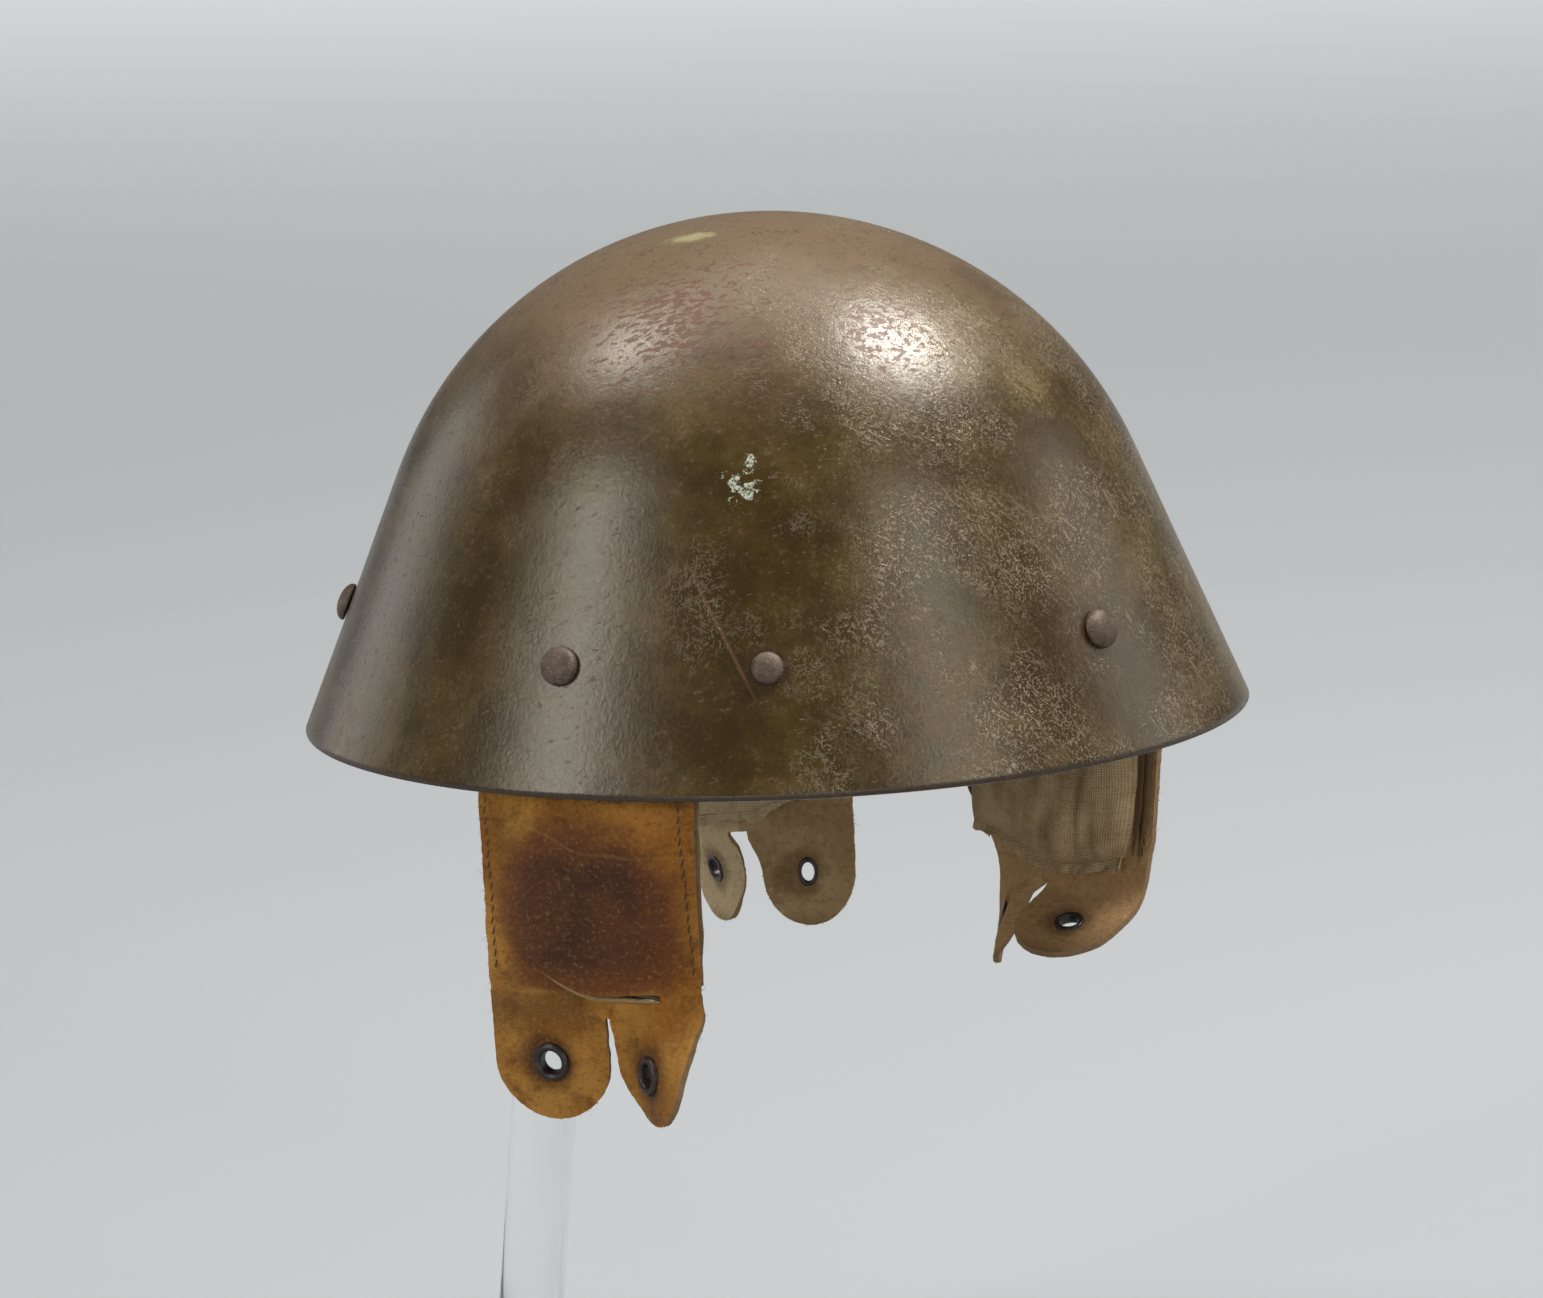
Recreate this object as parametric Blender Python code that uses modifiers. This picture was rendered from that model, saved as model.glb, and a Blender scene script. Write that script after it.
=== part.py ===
"""Steel combat helmet with three hanging leather pads, held up by a clear display stand.

Metres, +Z up, +X to the front of the helmet, +Y to the wearer's left.
The origin is on the ground, under the middle of the rim.
"""
import math
from collections import namedtuple

import bmesh
import bpy
import numpy as np
from mathutils import Matrix, Vector

# Air left between two pieces that meet.
GAP = 0.0003

# Shell: a round crown that runs into a straight flared wall. Its level sections are ovals.
RIM_HEIGHT = 0.235
RIM_LENGTH = 0.284
OVAL = 0.86
CROWN_RADIUS = 0.1195
WALL_FLARE = math.radians(22.6)
STEEL = 0.0014
WALL_RISE = (RIM_LENGTH / 2 - CROWN_RADIUS * math.cos(WALL_FLARE)) / math.tan(WALL_FLARE)
CROWN_HEIGHT = WALL_RISE + CROWN_RADIUS * (1 - math.sin(WALL_FLARE))
SHELL_SEGMENTS = 56
WALL_ROWS = 4
CROWN_ROWS = 9

# Rivets: turn is the angle round the oval from the front, in degrees, and size is a share of
# the large rivet's sizes.
RIVET_HEIGHT = 0.0355
HEAD_RADIUS = 0.00575
HEAD_RISE = 0.0036
HEAD_EDGE = 0.0008
SHANK_RADIUS = 0.0022
CLINCH_RISE = 0.0010
RIVET_SEGMENTS = 14
Rivet = namedtuple("Rivet", "turn size")
RIVETS = {
    "rivet_rear": Rivet(180.0, 1.0),
    "rivet_right_rear": Rivet(245.5, 1.0),
    "rivet_right_front": Rivet(322.1, 1.0),
    "rivet_left_front": Rivet(37.9, 1.0),
    "rivet_left_rear": Rivet(114.5, 1.0),
    "strap_rivet_right": Rivet(273.4, 0.82),
    "strap_rivet_left": Rivet(86.6, 0.82),
}

# Leather ring inside the wall. The rivets hold it and the pads are sewn to its lower part.
BAND_LEATHER = 0.0018
BAND_LOW = 0.016
BAND_HIGH = 0.044

# Pads: a leather panel that ends in two round lobes, with a slit between them, an eyelet in
# each and a slot into the pocket behind. The slit and the slot are measured from its lower end.
PAD_LEATHER = 0.0020
PAD_WIDTH = 0.070
PAD_LENGTH = 0.1275
PAD_TOP = 0.029
LAP_GAP = 0.0014
PAD_LAP = (PAD_TOP - BAND_LOW) / math.cos(WALL_FLARE)
LOBE_RADIUS = PAD_WIDTH / 4
SLIT_LENGTH = 0.036
SLIT_WIDTH = 0.0012
SLOT_UP = 0.041
SLOT_SIDE = 0.0025
SLOT_LENGTH = 0.035
SLOT_WIDTH = 0.0014
SWING_RUN = 0.030
TWIST_RUN = 0.024
TWIST_REST = 0.007
CURL_RUN = 0.012
PAD_COLUMNS = 10
PAD_ROWS = 13

# hang is the angle round the oval, length a share of PAD_LENGTH, turn twists the whole panel about the vertical and swing tips
# its foot outward. The free edge of the second lobe twists outward, about a line that lies at
# the slit (0) or at the free edge (1). The first lobe curls outward. cushion_end is how far the
# cushion runs past the slit's upper end, as a share of LOBE_RADIUS. The angles are in degrees.
Pad = namedtuple("Pad", "hang length turn swing curl twist twist_line cushion_end")
PADS = {
    "right_pad": Pad(249.8, 1.0, 4.0, -4.0, 0.0, 46.0, 0.05, -0.12),
    "left_pad": Pad(99.5, 0.988, 0.0, -2.0, 0.0, 68.0, -0.3, -0.12),
    "front_pad": Pad(48.4, 1.067, 16.0, -16.0, -55.0, 62.0, 0.9, 0.06),
}

# Cushions behind the pads.
CUSHION_WIDTH = 0.058
CUSHION_TOP = 0.003
CUSHION_SEAT = 0.0008
CUSHION_EDGE = 0.0020
CUSHION_BULGE = 0.0070
CUSHION_COLUMNS = 8
CUSHION_ROWS = 11

# Eyelets in the lobes.
EYELET_HOLE = 0.0034
EYELET_BARREL = 0.0042
EYELET_FLANGE = 0.0060
EYELET_BACK = 0.0055
EYELET_RISE = 0.0012
EYELET_SEAT = 0.0005
EYELET_SEGMENTS = 14

# Stand: a plate on the ground, a leaning round post and an oval cap under the crown.
BASE_SIZE = (0.200, 0.150, 0.010)
BASE_CENTRE_X = -0.035
BASE_EDGE = 0.0015
POST_RADIUS = 0.010
POST_LEAN = 0.115
POST_AT_RIM_X = -0.0625
CAP_BELOW_CROWN = 0.0197
CAP_TOP = CROWN_HEIGHT - CAP_BELOW_CROWN
CAP_THICKNESS = 0.008
CAP_SEGMENTS = 32

# Base colour, roughness, metallic.
MATERIALS = {
    "worn_paint": ((0.16, 0.13, 0.09), 0.50, 0.6),
    "rivet_steel": ((0.14, 0.11, 0.09), 0.45, 0.8),
    "band_leather": ((0.30, 0.17, 0.09), 0.70, 0.0),
    "pad_leather": ((0.50, 0.24, 0.10), 0.60, 0.0),
    "cushion_cloth": ((0.45, 0.34, 0.24), 0.90, 0.0),
    "black_enamel": ((0.01, 0.01, 0.012), 0.25, 0.0),
    "clear_acrylic": ((0.80, 0.84, 0.86), 0.05, 0.0),
}


def clear_scene():
    for obj in list(bpy.data.objects):
        bpy.data.objects.remove(obj, do_unlink=True)


def make_material(name):
    colour, roughness, metallic = MATERIALS[name]
    material = bpy.data.materials.get(name) or bpy.data.materials.new(name)
    material.use_nodes = True
    shader = material.node_tree.nodes["Principled BSDF"]
    shader.inputs["Base Color"].default_value = (*colour, 1.0)
    shader.inputs["Roughness"].default_value = roughness
    shader.inputs["Metallic"].default_value = metallic
    material.diffuse_color = (*colour, 1.0)
    return material


def named_collection(name):
    collection = bpy.data.collections.get(name)
    if collection is None:
        collection = bpy.data.collections.new(name)
        bpy.context.scene.collection.children.link(collection)
    return collection


def add_object(name, mesh, material_name):
    obj = bpy.data.objects.new(name, mesh)
    named_collection("steel_combat_helmet").objects.link(obj)
    mesh.materials.clear()
    mesh.materials.append(make_material(material_name))
    return obj


def bake(obj, triangulate=False):
    """Put the result of the modifiers into the mesh itself."""
    graph = bpy.context.evaluated_depsgraph_get()
    mesh = bpy.data.meshes.new_from_object(obj.evaluated_get(graph))
    obj.modifiers.clear()
    obj.data = mesh
    edit = bmesh.new()
    edit.from_mesh(mesh)
    bmesh.ops.remove_doubles(edit, verts=edit.verts, dist=1e-6)
    if triangulate:
        bmesh.ops.triangulate(edit, faces=edit.faces)
    edit.to_mesh(mesh)
    edit.free()
    return obj


def hide_cutter(obj):
    for collection in list(obj.users_collection):
        collection.objects.unlink(obj)
    named_collection("cutters").objects.link(obj)
    obj.hide_render = True
    obj.display_type = "WIRE"


def add_boolean(obj, cutter, operation):
    modifier = obj.modifiers.new(operation.lower(), "BOOLEAN")
    modifier.operation = operation
    modifier.solver = "EXACT"
    modifier.object = cutter


def turned(name, profile, segments, material_name, ring=False):
    """Solid of revolution about Z from (radius, height) pairs that go down the outer side."""
    mesh = bpy.data.meshes.new(name)
    edges = [(i, i + 1) for i in range(len(profile) - 1)]
    if ring:
        edges.append((len(profile) - 1, 0))
    mesh.from_pydata([(radius, 0.0, height) for radius, height in profile], edges, [])
    obj = add_object(name, mesh, material_name)
    screw = obj.modifiers.new("turn", "SCREW")
    screw.axis = "Z"
    screw.angle = math.tau
    screw.steps = segments
    screw.render_steps = segments
    screw.use_merge_vertices = True
    screw.merge_threshold = 0.00001
    screw.use_smooth_shade = False
    return bake(obj)


def bent_sheet(name, columns, rows, place, material_name):
    """Flat grid whose points (0 to 1 across, 0 to 1 up) are put in place by a function."""
    edit = bmesh.new()
    bmesh.ops.create_grid(edit, x_segments=columns, y_segments=rows, size=0.5)
    for vert in edit.verts:
        vert.co = place(vert.co.x + 0.5, vert.co.y + 0.5)
    bmesh.ops.remove_doubles(edit, verts=edit.verts, dist=1e-6)
    mesh = bpy.data.meshes.new(name)
    edit.to_mesh(mesh)
    edit.free()
    return add_object(name, mesh, material_name)


def thicken(obj, thickness):
    """Give a sheet its thickness on its inner side."""
    solidify = obj.modifiers.new("thickness", "SOLIDIFY")
    solidify.thickness = thickness
    solidify.offset = -1.0
    solidify.use_even_offset = True
    return bake(obj)


def ease(share):
    share = np.clip(share, 0.0, 1.0)
    return share * share * (3.0 - 2.0 * share)


def half_length(height):
    """Half length of the shell's oval at a height above the rim."""
    if height <= WALL_RISE:
        return RIM_LENGTH / 2 - height * math.tan(WALL_FLARE)
    rise = height - (CROWN_HEIGHT - CROWN_RADIUS)
    return math.sqrt(max(CROWN_RADIUS**2 - rise**2, 0.0))


def wall_normal(turn, height):
    """Outward direction of the shell at a turn round the oval and a height above the rim."""
    size = half_length(height)
    if height <= WALL_RISE:
        climb = size * math.tan(WALL_FLARE)
    else:
        climb = height - (CROWN_HEIGHT - CROWN_RADIUS)
    return Vector((size * math.cos(turn), size * math.sin(turn) / OVAL, climb)).normalized()


def wall_point(turn, height, inset=0.0):
    """Point on the shell's outside, or inset under it."""
    size = half_length(height)
    point = Vector((size * math.cos(turn), OVAL * size * math.sin(turn), RIM_HEIGHT + height))
    return point - wall_normal(turn, height) * inset


def shell_height(share):
    """Height of the shell's grid rows, from the rim (0) to the middle of the crown (1)."""
    rows = share * (WALL_ROWS + CROWN_ROWS)
    if rows <= WALL_ROWS:
        return WALL_RISE * rows / WALL_ROWS
    angle = WALL_FLARE + (math.pi / 2 - WALL_FLARE) * (rows - WALL_ROWS) / CROWN_ROWS
    return CROWN_HEIGHT - CROWN_RADIUS * (1 - math.sin(angle))


def make_shell(hole_cutters):
    shell = bent_sheet(
        "shell", SHELL_SEGMENTS, WALL_ROWS + CROWN_ROWS,
        lambda across, up: wall_point(across * math.tau, shell_height(up)), "worn_paint")
    thicken(shell, STEEL)
    for cutter in hole_cutters:
        add_boolean(shell, cutter, "DIFFERENCE")
    return shell


def make_band(hole_cutters):
    inset = STEEL + GAP
    band = bent_sheet(
        "liner_band", SHELL_SEGMENTS, 1,
        lambda across, up: wall_point(
            across * math.tau, BAND_LOW + (BAND_HIGH - BAND_LOW) * up, inset),
        "band_leather")
    thicken(band, BAND_LEATHER)
    for cutter in hole_cutters:
        add_boolean(band, cutter, "DIFFERENCE")
    return band


def rivet_frame(rivet):
    """Placing matrix: origin on the shell's outside, Z straight out of the wall."""
    turn = math.radians(rivet.turn)
    rotation = wall_normal(turn, RIVET_HEIGHT).to_track_quat("Z", "Y").to_matrix().to_4x4()
    return Matrix.Translation(wall_point(turn, RIVET_HEIGHT)) @ rotation


def make_rivet(name, rivet):
    """Domed head, shank through wall and band, and a flat clinched head inside."""
    radius = HEAD_RADIUS * rivet.size
    rise = HEAD_RISE * rivet.size
    shank = SHANK_RADIUS * rivet.size
    profile = [(0.0, GAP + rise)]
    for degrees in (25, 48, 68, 85):
        angle = math.radians(degrees)
        dome = HEAD_EDGE + (rise - HEAD_EDGE) * math.cos(angle)
        profile.append((radius * math.sin(angle), GAP + dome))
    inner = -(STEEL + GAP + BAND_LEATHER + GAP)
    clinch = radius * 0.85
    profile += [
        (radius, GAP),
        (shank, GAP),
        (shank, inner),
        (clinch, inner),
        (clinch * 0.8, inner - CLINCH_RISE),
        (0.0, inner - CLINCH_RISE),
    ]
    obj = turned(name, profile, RIVET_SEGMENTS, "rivet_steel")
    obj.data.transform(rivet_frame(rivet))
    return obj


def make_rivet_hole(name, rivet):
    """Cutter for the rivet's hole through the wall and the band."""
    radius = SHANK_RADIUS * rivet.size + GAP
    reach = 2 * (STEEL + BAND_LEATHER)
    obj = turned(
        name + "_hole", [(0.0, reach), (radius, reach), (radius, -reach), (0.0, -reach)],
        10, "rivet_steel")
    obj.data.transform(rivet_frame(rivet))
    hide_cutter(obj)
    return obj


def hanging_line(pad, curl):
    """How far out and down the pad's middle line is, along its length."""
    length = PAD_LENGTH * pad.length
    run = np.linspace(0.0, length, 131)
    slit_top = length - SLIT_LENGTH
    swing = math.radians(pad.swing)
    slope = WALL_FLARE + (swing - WALL_FLARE) * ease((run - PAD_LAP) / SWING_RUN)
    slope = slope + math.radians(curl) * ease((run - slit_top) / CURL_RUN)
    step = np.diff(run)
    middle = (slope[1:] + slope[:-1]) / 2
    out = np.concatenate([[0.0], np.cumsum(np.sin(middle) * step)])
    down = np.concatenate([[0.0], np.cumsum(np.cos(middle) * step)])
    return run, slope, out, down


def pad_surface(pad):
    """Function that puts a point of the flat pad (side, down, outward) where it hangs."""
    length = PAD_LENGTH * pad.length
    hang = math.radians(pad.hang)
    inset = STEEL + GAP + BAND_LEATHER + LAP_GAP + PAD_LEATHER / 2
    start = wall_point(hang, PAD_TOP, inset)
    normal = wall_normal(hang, PAD_TOP)
    outward = Vector((normal.x, normal.y, 0.0)).normalized()
    along = Vector((-outward.y, outward.x, 0.0))
    size = half_length((PAD_TOP + BAND_LOW) / 2) - inset
    stretch = math.hypot(size * math.sin(hang), OVAL * size * math.cos(hang))
    bend = math.cos(WALL_FLARE) * OVAL * size**2 / stretch**3
    lines = {False: hanging_line(pad, pad.curl), True: hanging_line(pad, 0.0)}
    slit_top = length - SLIT_LENGTH

    def section(side, down, twisted):
        """Sideways and outward place on the level section, from the slit's line."""
        steps = (np.arange(12) + 0.5) / 12 * side
        angle = -steps * bend
        angle = angle - math.radians(pad.turn) * ease((down - PAD_LAP) / (slit_top - PAD_LAP))
        if twisted:
            start_down = slit_top - TWIST_RUN
            share = ease((down - start_down) / (TWIST_RUN + SLIT_LENGTH - LOBE_RADIUS - TWIST_REST))
            angle = angle + math.radians(pad.twist) * share * ease(steps / (LOBE_RADIUS * 0.6))
        return (float(np.cos(angle).sum()) * side / 12, float(np.sin(angle).sum()) * side / 12)

    def middle(side, down):
        twisted = side >= 0
        run, slope, out, drop = lines[twisted]
        lean = float(np.interp(down, run, slope))
        sideways, bulge = section(side, down, twisted)
        if twisted:
            edge = section(PAD_WIDTH / 2, down, True)
            plain = section(PAD_WIDTH / 2, down, False)
            shift = pad.twist_line * ease((down - slit_top) / CURL_RUN)
            sideways += shift * (plain[0] - edge[0])
        lean_normal = outward * math.cos(lean) + Vector((0.0, 0.0, math.sin(lean)))
        point = start + outward * float(np.interp(down, run, out))
        point = point - Vector((0.0, 0.0, float(np.interp(down, run, drop))))
        return point + along * sideways + lean_normal * bulge

    def place(side, down, out):
        step = 0.0005 if side >= 0 else -0.0005
        here = middle(side, down)
        across = (middle(side + step, down) - here) * (1 if side >= 0 else -1)
        up = middle(side, down - 0.0005) - here
        return here + across.cross(up).normalized() * out

    return place


def pad_outline(pad):
    """Outline of the flat pad as (side, down) pairs, and its holes."""
    length = PAD_LENGTH * pad.length
    half = PAD_WIDTH / 2
    slit = SLIT_WIDTH / 2
    slit_top = length - SLIT_LENGTH
    lobe_centre = length - LOBE_RADIUS
    outline = [(-half, 0.0), (-half, lobe_centre)]
    lobe = [math.radians(a) for a in range(165, -1, -15)]
    outline += [
        (-LOBE_RADIUS + LOBE_RADIUS * math.cos(a), lobe_centre + LOBE_RADIUS * math.sin(a))
        for a in lobe if LOBE_RADIUS * (math.cos(a) - 1) < -slit]
    outline += [(-slit, lobe_centre), (-slit, slit_top), (slit, slit_top), (slit, lobe_centre)]
    outline += [
        (LOBE_RADIUS + LOBE_RADIUS * math.cos(a), lobe_centre + LOBE_RADIUS * math.sin(a))
        for a in lobe if LOBE_RADIUS * (math.cos(a) + 1) > slit]
    outline += [(half, 0.0)]
    hole = EYELET_BARREL + GAP
    holes = [
        [(centre + hole * math.cos(a), lobe_centre + hole * math.sin(a))
         for a in np.linspace(0.0, math.tau, 14, endpoint=False)]
        for centre in (-LOBE_RADIUS, LOBE_RADIUS)]
    left = SLOT_SIDE - SLOT_LENGTH / 2
    right = SLOT_SIDE + SLOT_LENGTH / 2
    top = length - SLOT_UP - SLOT_WIDTH / 2
    low = top + SLOT_WIDTH
    holes.append([(left, top), (right, top), (right, low), (left, low)])
    return outline, holes


def flat_prism(name, loops, thickness):
    """Flat filled curve with holes, given a thickness and turned into a mesh."""
    curve = bpy.data.curves.new(name, "CURVE")
    curve.dimensions = "2D"
    curve.fill_mode = "BOTH"
    curve.extrude = thickness / 2
    for loop in loops:
        spline = curve.splines.new("POLY")
        spline.points.add(len(loop) - 1)
        for point, (side, down) in zip(spline.points, loop):
            point.co = (side, -down, 0.0, 1.0)
        spline.use_cyclic_u = True
    obj = bpy.data.objects.new(name, curve)
    bpy.context.scene.collection.objects.link(obj)
    graph = bpy.context.evaluated_depsgraph_get()
    mesh = bpy.data.meshes.new_from_object(obj.evaluated_get(graph))
    bpy.data.objects.remove(obj)
    edit = bmesh.new()
    edit.from_mesh(mesh)
    bmesh.ops.remove_doubles(edit, verts=edit.verts, dist=1e-6)
    bmesh.ops.recalc_face_normals(edit, faces=edit.faces)
    edit.to_mesh(mesh)
    edit.free()
    return add_object(name, mesh, "pad_leather")


def flat_slab(name, width, top, end, thickness, columns, rows, material_name):
    """Flat grid slab, lying in X (side) and -Y (down), with its middle at Z = 0."""
    slab = bent_sheet(
        name, columns, rows,
        lambda across, up: Vector(((across - 0.5) * width, -end + (end - top) * up, 0.0)),
        material_name)
    thicken(slab, thickness)
    for vert in slab.data.vertices:
        vert.co.z += thickness / 2
    return slab


def make_pad_leather(name, pad):
    length = PAD_LENGTH * pad.length
    outline, holes = pad_outline(pad)
    margin = PAD_LEATHER
    slab = flat_slab(
        name, PAD_WIDTH + 2 * margin, -margin, length + margin, PAD_LEATHER,
        PAD_COLUMNS, PAD_ROWS, "pad_leather")
    prism = flat_prism(name + "_pattern", [outline] + holes, PAD_LEATHER * 3)
    add_boolean(slab, prism, "INTERSECT")
    bake(slab, triangulate=True)
    bpy.data.objects.remove(prism)
    place = pad_surface(pad)
    for vert in slab.data.vertices:
        vert.co = place(vert.co.x, -vert.co.y, vert.co.z)
    return slab


def make_cushion(name, pad):
    """Padded pocket: flat towards the leather, bulging towards the head."""
    end = PAD_LENGTH * pad.length - SLIT_LENGTH + LOBE_RADIUS * pad.cushion_end
    slab = flat_slab(
        name, CUSHION_WIDTH, CUSHION_TOP, end, CUSHION_EDGE, CUSHION_COLUMNS, CUSHION_ROWS,
        "cushion_cloth")
    place = pad_surface(pad._replace(curl=0.0, twist=0.0))
    seat = PAD_LEATHER / 2 + CUSHION_SEAT
    half_run = (end - CUSHION_TOP) / 2
    for vert in slab.data.vertices:
        across = vert.co.x / (CUSHION_WIDTH / 2)
        along = (-vert.co.y - CUSHION_TOP - half_run) / half_run
        pinch = 1.0 - 0.06 * along**6
        squeeze = 1.0 - 0.04 * across**6
        side = vert.co.x * pinch
        down = CUSHION_TOP + half_run + half_run * along * squeeze
        out = -seat
        if vert.co.z < 0:
            out -= CUSHION_EDGE + CUSHION_BULGE * (1 - across**4) * (1 - along**4)
        vert.co = place(side, down, out)
    return slab


def make_eyelet(name, pad, side):
    """Turned ring with a flange on both faces of the leather, set into one lobe."""
    face = PAD_LEATHER / 2 + EYELET_SEAT
    profile = [
        (EYELET_HOLE, face + EYELET_RISE * 0.4),
        (EYELET_HOLE + EYELET_RISE * 0.67, face + EYELET_RISE),
        (EYELET_FLANGE - EYELET_RISE * 0.67, face + EYELET_RISE * 0.8),
        (EYELET_FLANGE, face),
        (EYELET_BARREL, face),
        (EYELET_BARREL, -face),
        (EYELET_BACK, -face),
        (EYELET_BACK - EYELET_RISE * 0.5, -face - EYELET_RISE * 0.6),
        (EYELET_HOLE, -face - EYELET_RISE * 0.5),
    ]
    obj = turned(name, profile, EYELET_SEGMENTS, "black_enamel", ring=True)
    place = pad_surface(pad)
    down = PAD_LENGTH * pad.length - LOBE_RADIUS
    middle = place(side, down, 0.0)
    facing = place(side, down, 1.0) - middle
    rotation = facing.to_track_quat("Z", "Y").to_matrix().to_4x4()
    obj.data.transform(Matrix.Translation(middle) @ rotation)
    return obj


def make_stand_base():
    mesh = bpy.data.meshes.new("stand_base")
    edit = bmesh.new()
    bmesh.ops.create_cube(edit, size=1.0)
    for vert in edit.verts:
        vert.co.x = vert.co.x * BASE_SIZE[0] + BASE_CENTRE_X
        vert.co.y = vert.co.y * BASE_SIZE[1]
        vert.co.z = (vert.co.z + 0.5) * BASE_SIZE[2]
    edit.to_mesh(mesh)
    edit.free()
    base = add_object("stand_base", mesh, "clear_acrylic")
    bevel = base.modifiers.new("edges", "BEVEL")
    bevel.width = BASE_EDGE
    bevel.segments = 2
    return base


def make_stand_post():
    """Round post whose ends are level, leaning towards the middle of the helmet."""
    low = BASE_SIZE[2] + GAP
    high = RIM_HEIGHT + CAP_TOP - CAP_THICKNESS - GAP
    post = turned(
        "stand_post", [(0.0, high), (POST_RADIUS, high), (POST_RADIUS, low), (0.0, low)],
        28, "clear_acrylic")
    for vert in post.data.vertices:
        vert.co.x += POST_AT_RIM_X + POST_LEAN * (vert.co.z - RIM_HEIGHT)
    return post


def make_stand_cap():
    """Level oval plate whose top edge sits just under the inside of the crown."""
    inset = STEEL + GAP
    rim = [wall_point(math.tau * i / CAP_SEGMENTS, CAP_TOP, inset) for i in range(CAP_SEGMENTS)]
    top = min(point.z for point in rim)
    mesh = bpy.data.meshes.new("stand_cap")
    edit = bmesh.new()
    loop = [edit.verts.new((point.x, point.y, top)) for point in rim]
    face = edit.faces.new(loop)
    raised = bmesh.ops.extrude_face_region(edit, geom=[face])
    for vert in [g for g in raised["geom"] if isinstance(g, bmesh.types.BMVert)]:
        vert.co.z = RIM_HEIGHT + CAP_TOP - CAP_THICKNESS
    bmesh.ops.recalc_face_normals(edit, faces=edit.faces)
    edit.to_mesh(mesh)
    edit.free()
    return add_object("stand_cap", mesh, "clear_acrylic")


def main():
    clear_scene()
    cutters = [make_rivet_hole(name, rivet) for name, rivet in RIVETS.items()]
    make_shell(cutters)
    make_band(cutters)
    for name, rivet in RIVETS.items():
        make_rivet(name, rivet)
    for name, pad in PADS.items():
        make_pad_leather(name + "_leather", pad)
        make_cushion(name + "_cushion", pad)
        make_eyelet(name + "_eyelet_flat", pad, -LOBE_RADIUS)
        make_eyelet(name + "_eyelet_twisted", pad, LOBE_RADIUS)
    make_stand_base()
    make_stand_post()
    make_stand_cap()
    for obj in named_collection("steel_combat_helmet").objects:
        obj.data.shade_smooth()
        obj.data.set_sharp_from_angle(angle=math.radians(40))


main()
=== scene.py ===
"""A worn steel combat helmet with hanging leather pads, on its clear stand."""

from math import cos, hypot, pi, radians, sin, sqrt, tan, tau

import bmesh
import bpy
import numpy as np
from mathutils import Matrix, Vector, noise


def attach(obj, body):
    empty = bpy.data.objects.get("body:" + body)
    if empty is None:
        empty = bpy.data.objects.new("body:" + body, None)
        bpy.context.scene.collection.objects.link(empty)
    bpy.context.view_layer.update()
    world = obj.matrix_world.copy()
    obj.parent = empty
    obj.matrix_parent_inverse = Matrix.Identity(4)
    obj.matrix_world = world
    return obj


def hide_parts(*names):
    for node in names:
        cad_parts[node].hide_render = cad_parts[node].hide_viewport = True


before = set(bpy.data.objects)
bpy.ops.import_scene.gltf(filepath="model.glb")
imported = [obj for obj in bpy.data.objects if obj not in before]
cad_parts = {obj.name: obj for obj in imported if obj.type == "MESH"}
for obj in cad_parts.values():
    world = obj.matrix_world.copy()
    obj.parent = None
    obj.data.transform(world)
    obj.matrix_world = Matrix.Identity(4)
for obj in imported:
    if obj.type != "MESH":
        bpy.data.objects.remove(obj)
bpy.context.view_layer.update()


# The photographer's place: about two metres from the helmet's right side, a little above it,
# with a long lens. The camera leans a little to one side, as the picture does.
RIM_HEIGHT = 0.235
CAMERA_DISTANCE = 2.0
CAMERA_TURN = radians(-5.0)
CAMERA_RISE = radians(12.47)
CAMERA_ROLL = radians(2.54)

sight = Vector((
    sin(CAMERA_TURN) * cos(CAMERA_RISE),
    cos(CAMERA_TURN) * cos(CAMERA_RISE),
    -sin(CAMERA_RISE)))
level_right = Vector((cos(CAMERA_TURN), -sin(CAMERA_TURN), 0.0))
level_up = level_right.cross(sight)
right = level_right * cos(CAMERA_ROLL) - level_up * sin(CAMERA_ROLL)
up = level_right * sin(CAMERA_ROLL) + level_up * cos(CAMERA_ROLL)
place = Vector((0.0, 0.0, RIM_HEIGHT)) - sight * CAMERA_DISTANCE


def link(thing):
    bpy.context.scene.collection.objects.link(thing)
    return thing


lens = bpy.data.cameras.new("camera")
lens.lens = 155.0
lens.sensor_width = 36.0
lens.shift_x = -0.0032
lens.shift_y = 0.0375
lens.clip_end = 50.0
camera = link(bpy.data.objects.new("camera", lens))
camera.matrix_world = Matrix((
    (right.x, up.x, -sight.x, place.x),
    (right.y, up.y, -sight.y, place.y),
    (right.z, up.z, -sight.z, place.z),
    (0.0, 0.0, 0.0, 1.0)))
bpy.context.scene.camera = camera


# Studio light: tall soft boxes at the left and right of the camera, weaker ones behind them,
# three overhead and a low one in front. The far one only lights the floor behind the stand.
def soft_box(name, at, aim, size, power, mirrored=True):
    light = bpy.data.lights.new(name, "AREA")
    light.shape = "RECTANGLE"
    light.size, light.size_y = size
    light.energy = power
    box = link(bpy.data.objects.new(name, light))
    box.location = at
    box.rotation_euler = (Vector(aim) - Vector(at)).to_track_quat("-Z", "Y").to_euler()
    box.visible_camera = False
    box.visible_glossy = mirrored


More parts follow.
